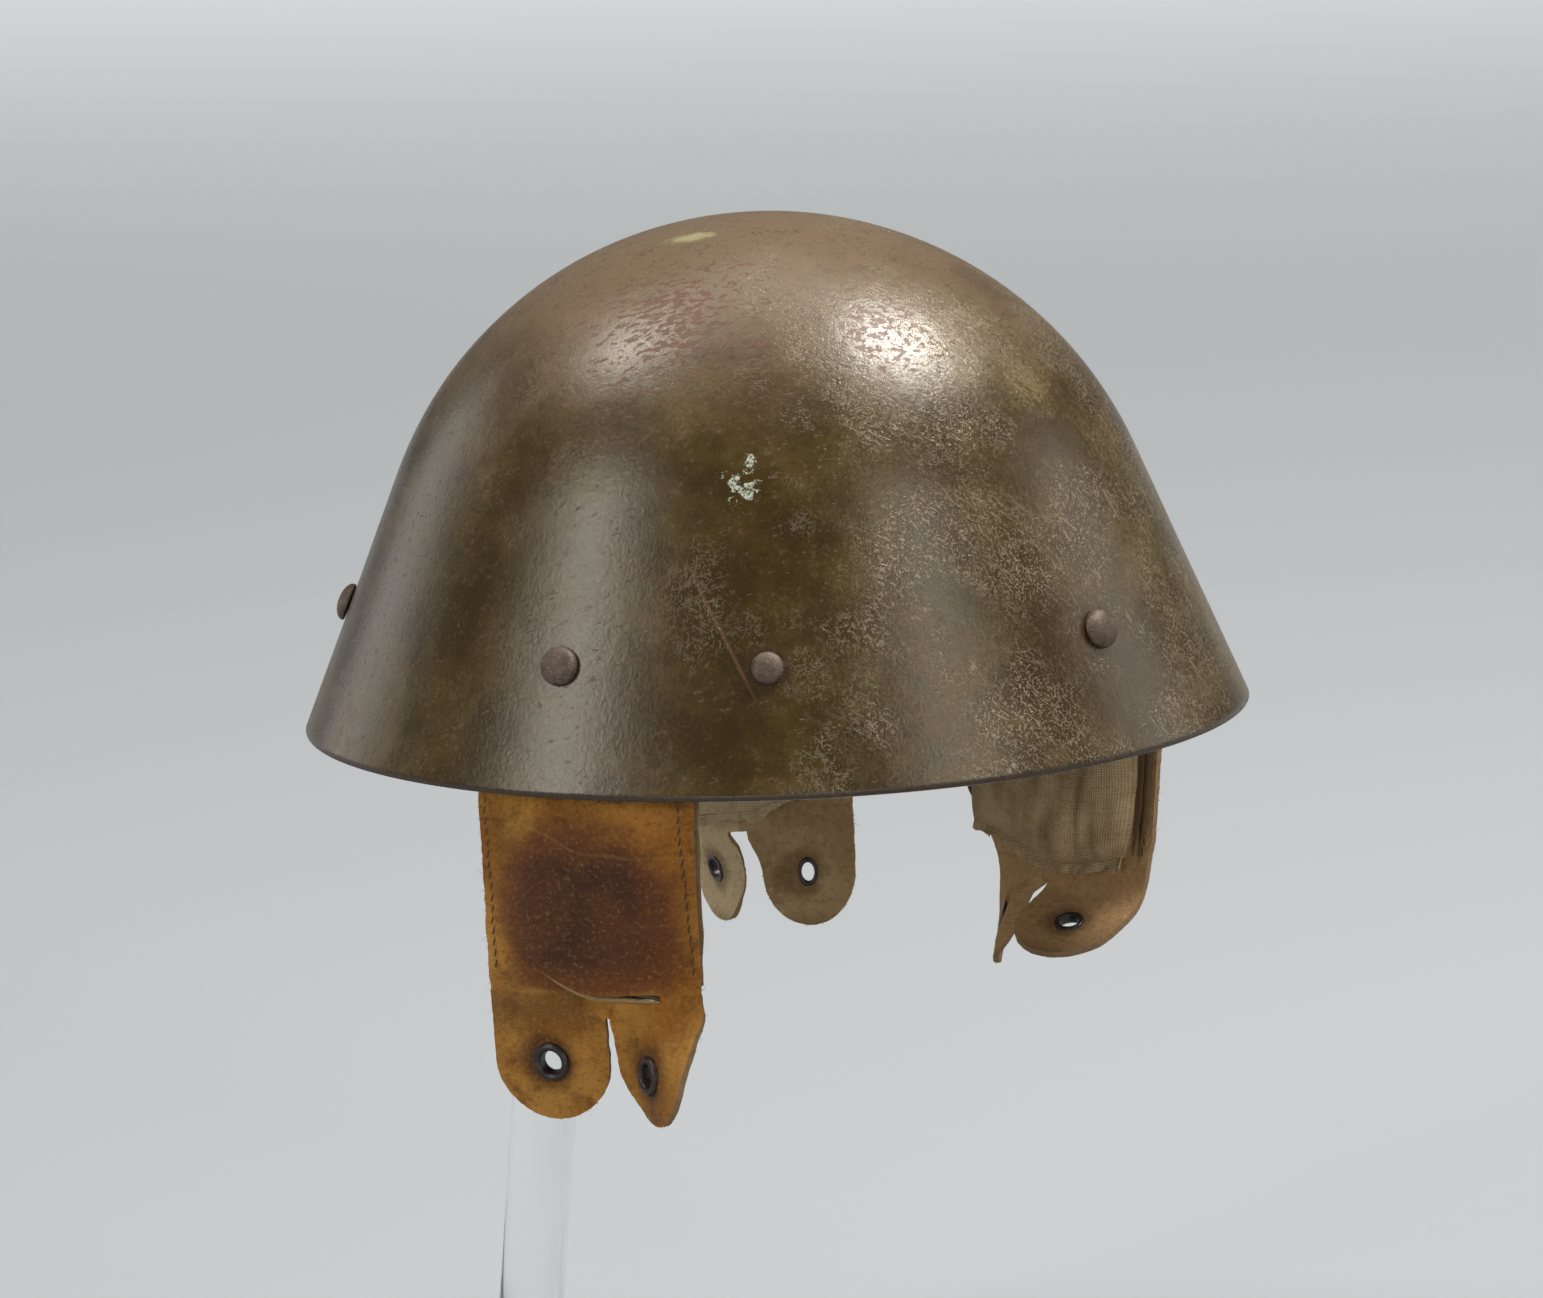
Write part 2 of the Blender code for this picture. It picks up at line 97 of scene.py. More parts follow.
HELMET = (0.0, 0.0, 0.30)
soft_box("soft_box_left", (-1.75, -1.6, 1.15), HELMET, (0.6, 1.5), 27.0)
soft_box("soft_fill_left", (-2.3, 1.2, 0.8), HELMET, (1.2, 1.5), 9.5)
soft_box("soft_box_right", (1.75, -1.85, 1.15), HELMET, (0.5, 1.4), 17.0)
soft_box("soft_fill_right", (2.4, 0.4, 0.8), HELMET, (1.2, 1.5), 11.0)
soft_box("soft_box_top", (1.02, 0.12, 2.22), HELMET, (0.74, 0.50), 66.0)
soft_box("soft_box_top_left", (-1.05, 0.0, 2.2), HELMET, (0.6, 0.5), 14.0)
soft_box("soft_box_above", (-0.3, 0.4, 2.6), HELMET, (2.0, 1.4), 13.0)
soft_box("soft_box_low", (0.2, -3.0, 0.12), HELMET, (3.0, 0.25), 15.0)
soft_box("soft_box_far", (0.0, 5.2, 2.8), (0.0, 4.3, 0.0), (7.0, 2.0), 305.0, False)

world = bpy.data.worlds.new("surround")
world.use_nodes = True
world.node_tree.nodes["Background"].inputs["Color"].default_value = (0.95, 0.98, 1.0, 1.0)
world.node_tree.nodes["Background"].inputs["Strength"].default_value = 0.15
bpy.context.scene.world = world
bpy.context.scene.view_settings.view_transform = "Standard"


# Materials are written as sums: a wrapped socket adds Math nodes when it is added to or
# multiplied, and one method makes any other node.
class Value:
    def __init__(self, finish, socket):
        self.finish = finish
        self.socket = socket

    def math(self, operation, *others):
        sockets = {f"_{place}": value for place, value in enumerate((self, *others))}
        return self.finish.node("Math", settings={"operation": operation}, **sockets)

    def __add__(self, other):
        return self.math("ADD", other)

    def __mul__(self, other):
        return self.math("MULTIPLY", other)

    __radd__ = __add__
    __rmul__ = __mul__

    def __sub__(self, other):
        return self.math("SUBTRACT", other)

    def __rsub__(self, other):
        return self * -1.0 + other

    def most(self, other):
        return self.math("MAXIMUM", other)

    def step(self, low, high):
        """0 at low, 1 at high, smooth between and level beyond; low may be the larger."""
        flip = low > high
        return self.finish.node(
            "MapRange", settings={"interpolation_type": "SMOOTHSTEP"}, Value=self,
            From_Min=min(low, high), From_Max=max(low, high),
            To_Min=1.0 if flip else 0.0, To_Max=0.0 if flip else 1.0)


class Finish:
    """A material, and short calls for its nodes."""

    def __init__(self, name, **constants):
        self.material = bpy.data.materials.new(name)
        self.material.use_nodes = True
        self.tree = self.material.node_tree
        self.shader = self.tree.nodes["Principled BSDF"]
        self.colour = None
        for socket, value in constants.items():
            self.join(self.shader.inputs[socket.replace("_", " ")], value)

    def join(self, slot, value):
        if isinstance(value, Value):
            self.tree.links.new(value.socket, slot)
        elif slot.type == "RGBA":
            slot.default_value = (*value, 1.0)[:4]
        else:
            slot.default_value = value

    def node(self, kind, output=0, settings=(), **sockets):
        node = self.tree.nodes.new("ShaderNode" + kind)
        for setting, value in dict(settings).items():
            setattr(node, setting, value)
        for socket, value in sockets.items():
            key = int(socket[1:]) if socket[0] == "_" else socket.replace("_", " ")
            self.join(node.inputs[key], value)
        return Value(self, node.outputs[output])

    def point(self):
        return self.node("TexCoord", "Object")

    def flat(self):
        return self.node("UVMap", settings={"uv_map": "flat"})

    def part(self, vector, axis):
        return self.node("SeparateXYZ", axis, Vector=vector)

    def moved(self, vector, scale=(1.0, 1.0, 1.0), shift=(0.0, 0.0, 0.0)):
        return self.node("Mapping", Vector=vector, Scale=scale, Location=shift)

    def turned(self, vector, turn, scale):
        """Turn the pattern first, then stretch it along its own axes."""
        aside = self.node("Mapping", Vector=vector, Rotation=turn)
        return self.node("Mapping", Vector=aside, Scale=scale)

    def noise(self, vector, scale, detail=3.0, rough=0.55, shift=None):
        if shift:
            vector = self.moved(vector, shift=shift)
        return self.node("TexNoise", "Fac", Vector=vector, Scale=scale, Detail=detail,
                         Roughness=rough, Distortion=0.0)

    def cells(self, vector, scale):
        return self.node("TexVoronoi", "Distance", {"feature": "F1"}, Vector=vector, Scale=scale)

    def near(self, vector, spot):
        return self.node("VectorMath", "Value", {"operation": "DISTANCE"}, _0=vector, _1=spot)

    def blend(self, share, first, second):
        return self.node("Mix", 2, {"data_type": "RGBA"}, _0=share, _6=first, _7=second)

    def start(self, share, first, second):
        """Begin the finish's colour between two tones."""
        self.colour = self.blend(share, first, second)

    def coat(self, share, tint):
        """Lay a tint over the finish's colour, as strongly as share says."""
        self.colour = self.blend(share, self.colour, tint)

    def look(self, roughness, metallic=None, height=None, depth=0.0005):
        """Join the finish's colour, roughness, metal and relief to its shader."""
        self.join(self.shader.inputs["Base Color"], self.colour)
        self.join(self.shader.inputs["Roughness"], roughness)
        if metallic is not None:
            self.join(self.shader.inputs["Metallic"], metallic)
        if height is not None:
            bump = self.node("Bump", "Normal", Height=height, Distance=depth, Strength=1.0)
            self.join(self.shader.inputs["Normal"], bump)


def greatest(values):
    """The largest of several masks at each point."""
    top, *others = values
    for value in others:
        top = top.most(value)
    return top


def mesh_of(name, edit):
    mesh = bpy.data.meshes.new(name)
    edit.to_mesh(mesh)
    edit.free()
    return mesh


def weld(edit, dist=1e-6):
    bmesh.ops.remove_doubles(edit, verts=edit.verts, dist=dist)


def face_out(edit):
    bmesh.ops.recalc_face_normals(edit, faces=edit.faces)


def add_piece(name, edit, smooth, *finishes):
    """Put a finished bmesh into the scene as a piece on the one rigid body."""
    mesh = mesh_of(name, edit)
    piece = link(bpy.data.objects.new(name, mesh))
    for finish in finishes:
        mesh.materials.append(finish.material)
    mesh.shade_smooth()
    mesh.set_sharp_from_angle(angle=radians(smooth))
    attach(piece, "root")
    return piece


# Floor: a plain pale sheet that runs far behind the stand and is lit by the same boxes. Its colour
# grows lighter away from the camera, a painted brightening that stands in for the light on the
# backdrop.
floor_finish = Finish("pale_floor", Specular_IOR_Level=0.1)
# Painted light: the sheet is coloured lighter further along Y, away from the camera.
away = floor_finish.part(floor_finish.point(), "Y").step(0.2, 4.2)
floor_finish.start(away, (0.292, 0.299, 0.301), (0.336, 0.346, 0.349))
floor_finish.look(0.9)
edit = bmesh.new()
bmesh.ops.create_grid(edit, x_segments=1, y_segments=1, size=20.0)
floor = link(bpy.data.objects.new("floor", mesh_of("floor", edit)))
floor.data.materials.append(floor_finish.material)


# Shell: one pressing of steel about 1.4 mm thick, a round crown that runs into a straight
# flared wall, with a raw rim. Its brown-olive paint is worn, rusted and scratched.
RIM_LENGTH = 0.284
OVAL = 0.86
CROWN_RADIUS = 0.1195
WALL_FLARE = radians(22.6)
STEEL = 0.0014
WALL_RISE = (RIM_LENGTH / 2 - CROWN_RADIUS * cos(WALL_FLARE)) / tan(WALL_FLARE)
CROWN_HEIGHT = WALL_RISE + CROWN_RADIUS * (1 - sin(WALL_FLARE))
RIVET_HEIGHT = 0.0355
RIVETS = {
    "rivet_rear": (180.0, 1.0),
    "rivet_right_rear": (245.5, 1.0),
    "rivet_right_front": (322.1, 1.0),
    "rivet_left_front": (37.9, 1.0),
    "rivet_left_rear": (114.5, 1.0),
    "strap_rivet_right": (273.4, 0.82),
    "strap_rivet_left": (86.6, 0.82),
}


def half_length(height):
    if height <= WALL_RISE:
        return RIM_LENGTH / 2 - height * tan(WALL_FLARE)
    rise = height - (CROWN_HEIGHT - CROWN_RADIUS)
    return sqrt(max(CROWN_RADIUS**2 - rise**2, 0.0))


def wall_normal(turn, height):
    size = half_length(height)
    if height <= WALL_RISE:
        climb = size * tan(WALL_FLARE)
    else:
        climb = height - (CROWN_HEIGHT - CROWN_RADIUS)
    return Vector((size * cos(turn), size * sin(turn) / OVAL, climb)).normalized()


def wall_point(turn, height, inset=0.0):
    size = half_length(height)
    point = Vector((size * cos(turn), OVAL * size * sin(turn), RIM_HEIGHT + height))
    return point - wall_normal(turn, height) * inset


SHELL_ROWS = 96
WALL_SHARE = 0.42

edit = bmesh.new()
bmesh.ops.create_grid(edit, x_segments=256, y_segments=SHELL_ROWS, size=0.5)
for vert in edit.verts:
    turn = (vert.co.x + 0.5) * tau
    share = vert.co.y + 0.5
    if share < WALL_SHARE:
        height = WALL_RISE * share / WALL_SHARE
    else:
        angle = WALL_FLARE + (pi / 2 - WALL_FLARE) * (share - WALL_SHARE) / (1 - WALL_SHARE)
        height = CROWN_HEIGHT - CROWN_RADIUS * (1 - sin(angle))
    point = wall_point(turn, height)
    wave = noise.noise(point * 9.0) * 0.00022 + noise.noise(point * 31.0) * 0.00007
    vert.co = wall_point(turn, height, wave)
weld(edit)

paint = Finish("worn_paint", IOR=1.50, Specular_Tint=(1.0, 0.94, 0.83, 1.0))
at = paint.point()
height = paint.part(at, "Z") - RIM_HEIGHT
forward = paint.part(at, "X")
cloud = paint.noise(at, 13.0, 4.0, 0.6)
patch = paint.noise(at, 34.0, 5.0, 0.62, shift=(3.1, 0.4, 1.7))
mottle = paint.noise(at, 170.0, 5.0, 0.72, shift=(0.2, 4.4, 2.7))
grain = paint.noise(at, 800.0, 4.0, 0.7)
speckle = paint.noise(at, 1500.0, 2.0, 0.75, shift=(0.7, 2.2, 5.1))

# Olive paint, lifted to brown bare primer over the crown, rusty in cloudy patches.
crown = (height + (cloud - 0.5) * 0.07 + (patch - 0.5) * 0.03).step(0.088, 0.146)
paint.start(patch.step(0.38, 0.66), (0.030, 0.0155, 0.0018), (0.054, 0.034, 0.0055))
paint.coat(crown, (0.122, 0.081, 0.045))
paint.coat((mottle * 0.55 + grain * 0.45).step(0.53, 0.68) * 0.35, (0.125, 0.096, 0.052))
paint.coat((mottle * 0.5 + grain * 0.5).step(0.48, 0.35) * 0.50, (0.020, 0.012, 0.005))
rust = (cloud * 0.5 + patch * 0.5 + height.step(0.03, 0.0) * 0.05).step(0.53, 0.66)
rust = rust * mottle.step(0.42, 0.60)
paint.coat(rust * 0.42, (0.105, 0.045, 0.018))

# Worn places where the paint is rubbed to pale grey steel, most of them towards the front.
front = (forward + (cloud - 0.5) * 0.12).step(-0.01, 0.06)
rub = (patch * 0.36 + grain * 0.24 + speckle * 0.40 + front * 0.03).step(0.585, 0.665)
paint.coat(rub * 0.42, (0.230, 0.185, 0.115))


# Short scratches in all directions.
def scratch(number, rise, around):
    run = paint.turned(at, (0.0, rise, around), (70.0, 1500.0, 1500.0))
    line = paint.noise(run, 1.0, 0.0, shift=(number * 7.0, 0.0, 0.0))
    return line.step(0.71, 0.76)


scratches = greatest(scratch(number, *way) for number, way in enumerate((
    (0.3, 0.0), (0.9, 0.15), (1.4, -0.2), (2.0, 0.1), (2.7, -0.1), (0.6, 1.4), (1.6, 1.7),
    (2.4, 0.3))))
gate = paint.noise(at, 30.0, 5.0, 0.6, shift=(5.0, 1.0, 2.0)) + front * 0.08
gate = gate.step(0.47, 0.72)
scratches = scratches * gate * (forward.step(-0.025, 0.015) * 0.7 + 0.3)
paint.coat(scratches * 0.62, (0.270, 0.215, 0.140))

# Dark red-brown pits, crowded at two places of the crown.
crowd = paint.near(at, (-0.020, -0.0565, RIM_HEIGHT + 0.128)).step(0.034, 0.006)
crowd = crowd.most(paint.near(at, (0.041, -0.0548, RIM_HEIGHT + 0.1227)).step(0.026, 0.004))
pit_noise = paint.turned(at, (0.0, 0.35, 0.0), (260.0, 620.0, 620.0))
pit_noise = paint.noise(pit_noise, 1.0, 3.0, 0.65)
pits = (pit_noise + crowd * 0.120 + crown * 0.020 + (patch - 0.5) * 0.10).step(0.640, 0.665)
paint.coat(pits * 0.75, (0.080, 0.022, 0.012))

# One long rusty scratch, chips of pale paint, a yellow-green smear and the rivets' rusty rims.
along = paint.node("VectorMath", "Value", {"operation": "DOT_PRODUCT"},
                   _0=paint.moved(at, shift=(0.0143, 0.0, -RIM_HEIGHT - 0.0625)),
                   _1=(0.889, 0.0, 0.458))
span = height.step(0.022, 0.034) * height.step(0.066, 0.058)
side_gate = paint.part(at, "Y").step(-0.07, -0.09)
score = (along + (mottle - 0.5) * 0.001).math("ABSOLUTE").step(0.0008, 0.0001) * span * side_gate
paint.coat(score * 0.3, (0.190, 0.095, 0.055))


def chip(x, y, z, reach):
    away = paint.near(at, (x, y, RIM_HEIGHT + z)) + (mottle - 0.5) * 0.016
    return away.step(reach * 0.42, reach * 0.30)


chips = greatest(chip(*place) for place in (
    (0.0034, -0.090, 0.0965, 0.0042), (0.0024, -0.090, 0.0915, 0.0040),
    (-0.0010, -0.091, 0.0860, 0.0032), (0.0030, -0.091, 0.0835, 0.0042),
    (-0.0020, -0.092, 0.0800, 0.0036), (-0.0045, -0.091, 0.0880, 0.0020)))
chips = chips * (grain * 0.6 + speckle * 0.4).step(0.44, 0.54)
paint.coat(chips, (0.40, 0.43, 0.33))
smear = paint.moved(paint.moved(at, shift=(0.017, 0.0198, -RIM_HEIGHT - 0.1463)),
                    (0.42, 1.0, 1.0))
smear = paint.near(smear, (0.0, 0.0, 0.0)) + (mottle - 0.5) * 0.008
paint.coat(smear.step(0.0044, 0.0012) * 0.6, (0.30, 0.29, 0.14))
patch_place = paint.near(at, (0.0817, -0.0429, RIM_HEIGHT + 0.1018)) + (mottle - 0.5) * 0.03
paint.coat(patch_place.step(0.013, 0.002) * grain.step(0.3, 0.7) * 0.6, (0.20, 0.15, 0.065))


def rivet_seat(turn, size):
    away = paint.near(at, tuple(wall_point(radians(turn), RIVET_HEIGHT)))
    return (away + (mottle - 0.5) * 0.004).step(0.0088 * size, 0.0062 * size)


seat = greatest(rivet_seat(*place) for place in RIVETS.values())
paint.coat(seat * 0.85, (0.045, 0.020, 0.010))
edge = (height + (grain - 0.5) * 0.003).step(0.0022, 0.0008)
paint.coat(edge * 0.85, (0.028, 0.016, 0.011))

gloss = 0.27 + (grain - 0.5) * 0.15 + (patch - 0.5) * 0.12 + rust * 0.12 + pits * 0.2 + rub * 0.1
relief = grain * 0.8 + mottle * 1.1 + patch * 1.5 - pits * 0.3 - rub * 0.3 - scratches * 0.6
paint.look(gloss, rub * 0.15 + scratches * 0.3, relief, 0.00011)

shell = add_piece("shell_skin", edit, 50.0, paint)
wall = shell.modifiers.new("wall", "SOLIDIFY")
wall.thickness = STEEL
wall.offset = -1.0
wall.use_even_offset = True
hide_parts("shell")


# Rivets: domed steel heads, worn dark brown, that clamp the liner band. The two smaller ones
# are for the strap. Each has its shank through the wall and a flat clinched head inside.
GAP = 0.0003
BAND_LEATHER = 0.0018
HEAD_RADIUS = 0.00575
HEAD_RISE = 0.0036
HEAD_EDGE = 0.0006
SHANK_RADIUS = 0.0022


def revolved(profile, segments):
    """Solid of revolution about Z from a profile of (radius, height) pairs."""
    edit = bmesh.new()
    verts = [edit.verts.new((radius, 0.0, height)) for radius, height in profile]
    edges = [edit.edges.new(pair) for pair in zip(verts, verts[1:])]
    bmesh.ops.spin(edit, geom=verts + edges, axis=(0, 0, 1), cent=(0, 0, 0), angle=tau,
                   steps=segments, use_merge=True)
    weld(edit)
    face_out(edit)
    return edit


rivet_steel = Finish("rivet_steel", IOR=1.6, Specular_Tint=(1.0, 0.86, 0.72, 1.0))
at = rivet_steel.point()
wear = rivet_steel.noise(at, 300.0, 4.0, 0.6)
fine = rivet_steel.noise(at, 1500.0, 2.0, 0.6)
rivet_steel.start(wear.step(0.40, 0.62), (0.030, 0.018, 0.011), (0.075, 0.052, 0.037))
rivet_steel.coat(fine.step(0.56, 0.70) * 0.6, (0.180, 0.135, 0.100))
rivet_steel.coat(wear.step(0.46, 0.36) * 0.8, (0.060, 0.022, 0.009))
rivet_steel.look(0.46 + fine * 0.2, wear.step(0.3, 0.6) * 0.15, wear + fine * 0.4, 0.0003)

for name, (turn, size) in RIVETS.items():
    radius = HEAD_RADIUS * size
    rise = HEAD_RISE * size
    profile = [(0.0, GAP + rise)]
    for step in range(1, 15):
        angle = radians(step * 6.0)
        dome = HEAD_EDGE + (rise - HEAD_EDGE) * cos(angle)
        profile.append((radius * sin(angle), GAP + dome))
    inner = -(STEEL + GAP + BAND_LEATHER + GAP)
    shank = SHANK_RADIUS * size
    profile += [(radius, GAP + 0.0003), (radius - 0.0003, GAP), (shank, GAP), (shank, inner),
                (radius * 0.85, inner), (radius * 0.8, inner - 0.0006),
                (radius * 0.68, inner - 0.0010), (0.0, inner - 0.0010)]
    edit = revolved(profile, 40)
    turn = radians(turn)
    facing = wall_normal(turn, RIVET_HEIGHT).to_track_quat("Z", "Y").to_matrix().to_4x4()
    edit.transform(Matrix.Translation(wall_point(turn, RIVET_HEIGHT)) @ facing)
    head = add_piece(name + "_head", edit, 40.0, rivet_steel)
    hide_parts(name)


# Liner band: a plain leather ring inside the wall, held by the rivets. The pads are sewn to
# its lower part. Its solid has the right shape and only takes a leather finish here.
band_leather = Finish("band_leather", Specular_IOR_Level=0.3)
at = band_leather.point()
pores = band_leather.cells(at, 900.0)
tone = band_leather.noise(at, 40.0, 4.0)
band_leather.start(tone, (0.075, 0.036, 0.016), (0.150, 0.080, 0.038))
band_leather.look(0.62 + tone * 0.15, None, pores + tone, 0.0003)


def dress(node, finish):
    """Give a solid that keeps its shape the finish of its piece."""
    solid = bpy.data.objects[node]
    if not solid.material_slots:
        solid.data.materials.append(finish.material)
    for slot in solid.material_slots:
        slot.material = finish.material


dress("liner_band", band_leather)


# Pads: panels of 2 mm leather, sewn to the band and hanging below the rim. Each ends in two
# round lobes with a slit between them; the second lobe has twisted with age. The outer side
# is smooth orange-tan grain, stained dark in its middle, and the inner is suede.
PAD_LEATHER = 0.0020
PAD_WIDTH = 0.070
PAD_LENGTH = 0.1275
PAD_TOP = 0.029
BAND_LOW = 0.016
LAP_GAP = 0.0014
PAD_LAP = (PAD_TOP - BAND_LOW) / cos(WALL_FLARE)
LOBE_RADIUS = PAD_WIDTH / 4
SLIT_LENGTH = 0.036
SLIT_CLOSED = 0.0045
SWING_RUN = 0.030
CURL_RUN = 0.012
EYELET_CUT = 0.0043
SLOT_RISE = 0.0386
SLOT_CUT = 0.0006
LOBE_MAP_ROW = 1.10
LOBE_MAP_SIDES = (-0.175, 0.175)
PLAIN_PAD = dict(
    turn=0.0,  # degrees that the whole pad turns on its way down
    curl=0.0,  # degrees that the flat lobe tips inwards
    slit_at=0.0,  # how far the slit stands from the pad's middle
    trim_slit=0.0,  # how much narrower the flat lobe is at the slit,
    trim_side=0.0,  # and at the pad's side
    trim_second=0.0,  # how much narrower the twisted lobe is at the slit,
    tip=0.0,  # and how much shorter
    eyelet=1.0,  # width of the flat lobe's eyelet as a share of its height
    bulge=0.0018,  # how far the leather stands out over the cushion
    back_until=0.004,  # how far above the slot the second side comes back to its full width
    cushion_end=-0.12,  # how far the cushion goes past the slit's top, in lobe radii
    slant=0.0,  # how much higher the cushion ends at its second side,
    slant_flat=0.0)  # and at its first
# Around the shell a pad hangs at hang, and below the rim it leans by swing, both in degrees.
# Its second lobe turns by twist degrees from twist_lead above the slit, and moves sideways by
# the share twist_line. The cushion swells by puff, and seed sets the pad's own unevenness.
PADS = {
    "right_pad": dict(PLAIN_PAD, length=PAD_LENGTH, hang=249.8, turn=4.0, swing=-4.0, twist=56.0,
                      twist_lead=0.008, twist_line=0.34, slit_at=0.0020, tip=0.0030,
                      bulge=0.0026, puff=0.009, seed=1.0),
    "left_pad": dict(PLAIN_PAD, length=PAD_LENGTH * 0.988, hang=99.5, swing=-2.0, twist=76.0,
                     twist_lead=0.020, twist_line=-0.17, trim_slit=0.0046, trim_second=0.0046,
                     eyelet=0.66, puff=0.010, slant_flat=0.011, seed=2.0),
    "front_pad": dict(PLAIN_PAD, length=PAD_LENGTH * 1.067, hang=48.4, turn=16.0, swing=-16.0,
                      curl=-55.0, twist=76.0, twist_lead=0.024, twist_line=1.36,
                      trim_side=0.0010, tip=0.0025, puff=0.012, back_until=0.012,
                      cushion_end=0.03, slant=0.009, slant_flat=0.004, seed=3.0),
}


def ease(share):
    share = np.clip(share, 0.0, 1.0)
    return share * share * (3.0 - 2.0 * share)


def ease_out(share):
    """A run from 0 to 1 that starts briskly and ends softly."""
    share = np.clip(share, 0.0, 1.0)
    return share * (2.0 - share)


def uneven(*place):
    return noise.noise(Vector(place))


def ripple(side, down, scale, seed):
    """Smooth noise over the flat pad, for arrays of points."""
    return np.array([uneven(s * scale, d * scale, seed * 7.3) for s, d in zip(side, down)])


def hanging_line(pad, curl):
    length = pad["length"]
    run = np.linspace(-0.004, length + 0.004, 277)
    swing = radians(pad["swing"])
    slope = WALL_FLARE + (swing - WALL_FLARE) * ease((run - PAD_LAP) / SWING_RUN)
    slope = slope + radians(curl) * ease((run - (length - SLIT_LENGTH)) / CURL_RUN)
    middle = (slope[1:] + slope[:-1]) / 2
    out = np.concatenate([[0.0], np.cumsum(np.sin(middle) * np.diff(run))])
    drop = np.concatenate([[0.0], np.cumsum(np.cos(middle) * np.diff(run))])
    return run, slope, out - np.interp(0.0, run, out), drop - np.interp(0.0, run, drop)


def hang(pad, side, down, out):
    """Where points of the flat pad (side, down, outward) come to lie, as an array of rows."""
    side, down, out = (np.asarray(column, float) for column in (side, down, out))
    length = pad["length"]
    slit_top = length - SLIT_LENGTH
    turn = radians(pad["hang"])
    inset = STEEL + GAP + BAND_LEATHER + LAP_GAP + PAD_LEATHER / 2
    start = np.array(wall_point(turn, PAD_TOP, inset))
    normal = wall_normal(turn, PAD_TOP)
    outward = np.array(Vector((normal.x, normal.y, 0.0)).normalized())
    along = np.array((-outward[1], outward[0], 0.0))
    size = half_length((PAD_TOP + BAND_LOW) / 2) - inset
    stretch = hypot(size * sin(turn), OVAL * size * cos(turn))
    bend = cos(WALL_FLARE) * OVAL * size**2 / stretch**3
    lines = [hanging_line(pad, pad["curl"]), hanging_line(pad, 0.0)]

    def section(side, down, twisted):
        steps = (np.arange(12) + 0.5)[None, :] / 12 * side[:, None]
        angle = -steps * bend
        turned_by = radians(pad["turn"]) * ease((down - PAD_LAP) / (slit_top - PAD_LAP))
        angle = angle - turned_by[:, None]
        if twisted:
            lead = pad["twist_lead"]
            share = ease_out((down - slit_top + lead) / (lead + SLIT_LENGTH - 0.008))
            spread = ease((steps - pad["slit_at"]) / (LOBE_RADIUS * 0.6))
            angle = angle + radians(pad["twist"]) * share[:, None] * spread
        return np.cos(angle).sum(1) * side / 12, np.sin(angle).sum(1) * side / 12

    def middle(side, down, twisted):
        run, slope, far, drop = lines[1 if twisted else 0]
        lean = np.interp(down, run, slope)
        sideways, bulge = section(side, down, twisted)
        if twisted:
            edge = np.full_like(side, PAD_WIDTH / 2)
            free = ease((down - slit_top - SLIT_CLOSED) / 0.006)
            shift = pad["twist_line"] * np.maximum(
                ease(side / 0.022) * ease((down - slit_top + pad["twist_lead"]) / 0.020), free)
            sideways = sideways + shift * (
                section(edge, down, False)[0] - section(edge, down, True)[0])
        point = start + outward * np.interp(down, run, far)[:, None]
        point = point + along * sideways[:, None]
        lean_normal = (outward * np.cos(lean)[:, None]
                       + np.array((0.0, 0.0, 1.0)) * np.sin(lean)[:, None])
        point = point + lean_normal * bulge[:, None]
        point[:, 2] -= np.interp(down, run, drop)
        return point

    points = np.zeros((len(side), 3))
    for twisted in (False, True):
        some = (side >= pad["slit_at"]) == twisted
        if not some.any():
            continue
        s, d = side[some], down[some]
        step = 0.0005 if twisted else -0.0005
        here = middle(s, d, twisted)
        across = (middle(s + step, d, twisted) - here) * (1 if twisted else -1)
        above = middle(s, d - 0.0005, twisted) - here
        facing = np.cross(across, above)
        facing /= np.linalg.norm(facing, axis=1)[:, None]
        points[some] = here + facing * out[some][:, None]
    return points


def slot_down(pad, side):
    """The pocket's slot: level for most of its run, and turned up at its first end."""
    return pad["length"] - SLOT_RISE - 0.0077 * np.clip(
        (-0.0002 - np.asarray(side, float)) / 0.0176, 0.0, 3.0) ** 1.5


def stitch_side(row, down):
    """The two stitch rows run nearer the edge towards the bottom."""
    share = np.clip(np.asarray(down, float) / 0.085, 0.0, 1.0)
    return (-0.0332 + 0.0008 * share) if row == 0 else (0.0270 + 0.0016 * share)


def pad_relief(pad, side, down):
    """How far the leather stands out: over the cushion as far as the slot, and in slow waves
    near its edges, with a groove along each stitch row."""
    across = 1 - ease((np.abs(side) - 0.017) / 0.012)
    line = slot_down(pad, side)
    soft = 0.0012 + 0.007 * ease((np.abs(side - 0.001) - 0.017) / 0.006)
    along = ease((down - 0.020) / 0.025) * (1 - ease((down - line + soft * 0.6) / soft))
    wave = ripple(side, down, 55.0, pad["seed"]) * 0.0008
    fine = ripple(side, down, 160.0, pad["seed"] + 0.5) * 0.00025
    groove = sum(np.exp(-((side - stitch_side(row, down)) / 0.0009) ** 2) for row in (0, 1))
    groove = groove * (down < pad["length"] - 0.040)
    return (pad["bulge"] * across * along + (wave + fine) * ease((down - PAD_LAP) / 0.01)
            - groove * 0.00035)


def rough_edge(points, seed, size=0.00022):
    """Unevenness of a cut edge."""
    return [
        (side + uneven(side * 900, down * 900, seed) * size
         + uneven(side * 250, down * 250, seed + 4) * size,
         down + uneven(side * 900, down * 900, seed + 9) * size)
        for side, down in points]


def divided(points, step):
    """The same closed outline with more points along its straight runs."""
    result = []
    for (s0, d0), (s1, d1) in zip(points, points[1:] + points[:1]):
        count = max(1, round(hypot(s1 - s0, d1 - d0) / step))
        result += [(s0 + (s1 - s0) * i / count, d0 + (d1 - d0) * i / count)
                   for i in range(count)]
    return result


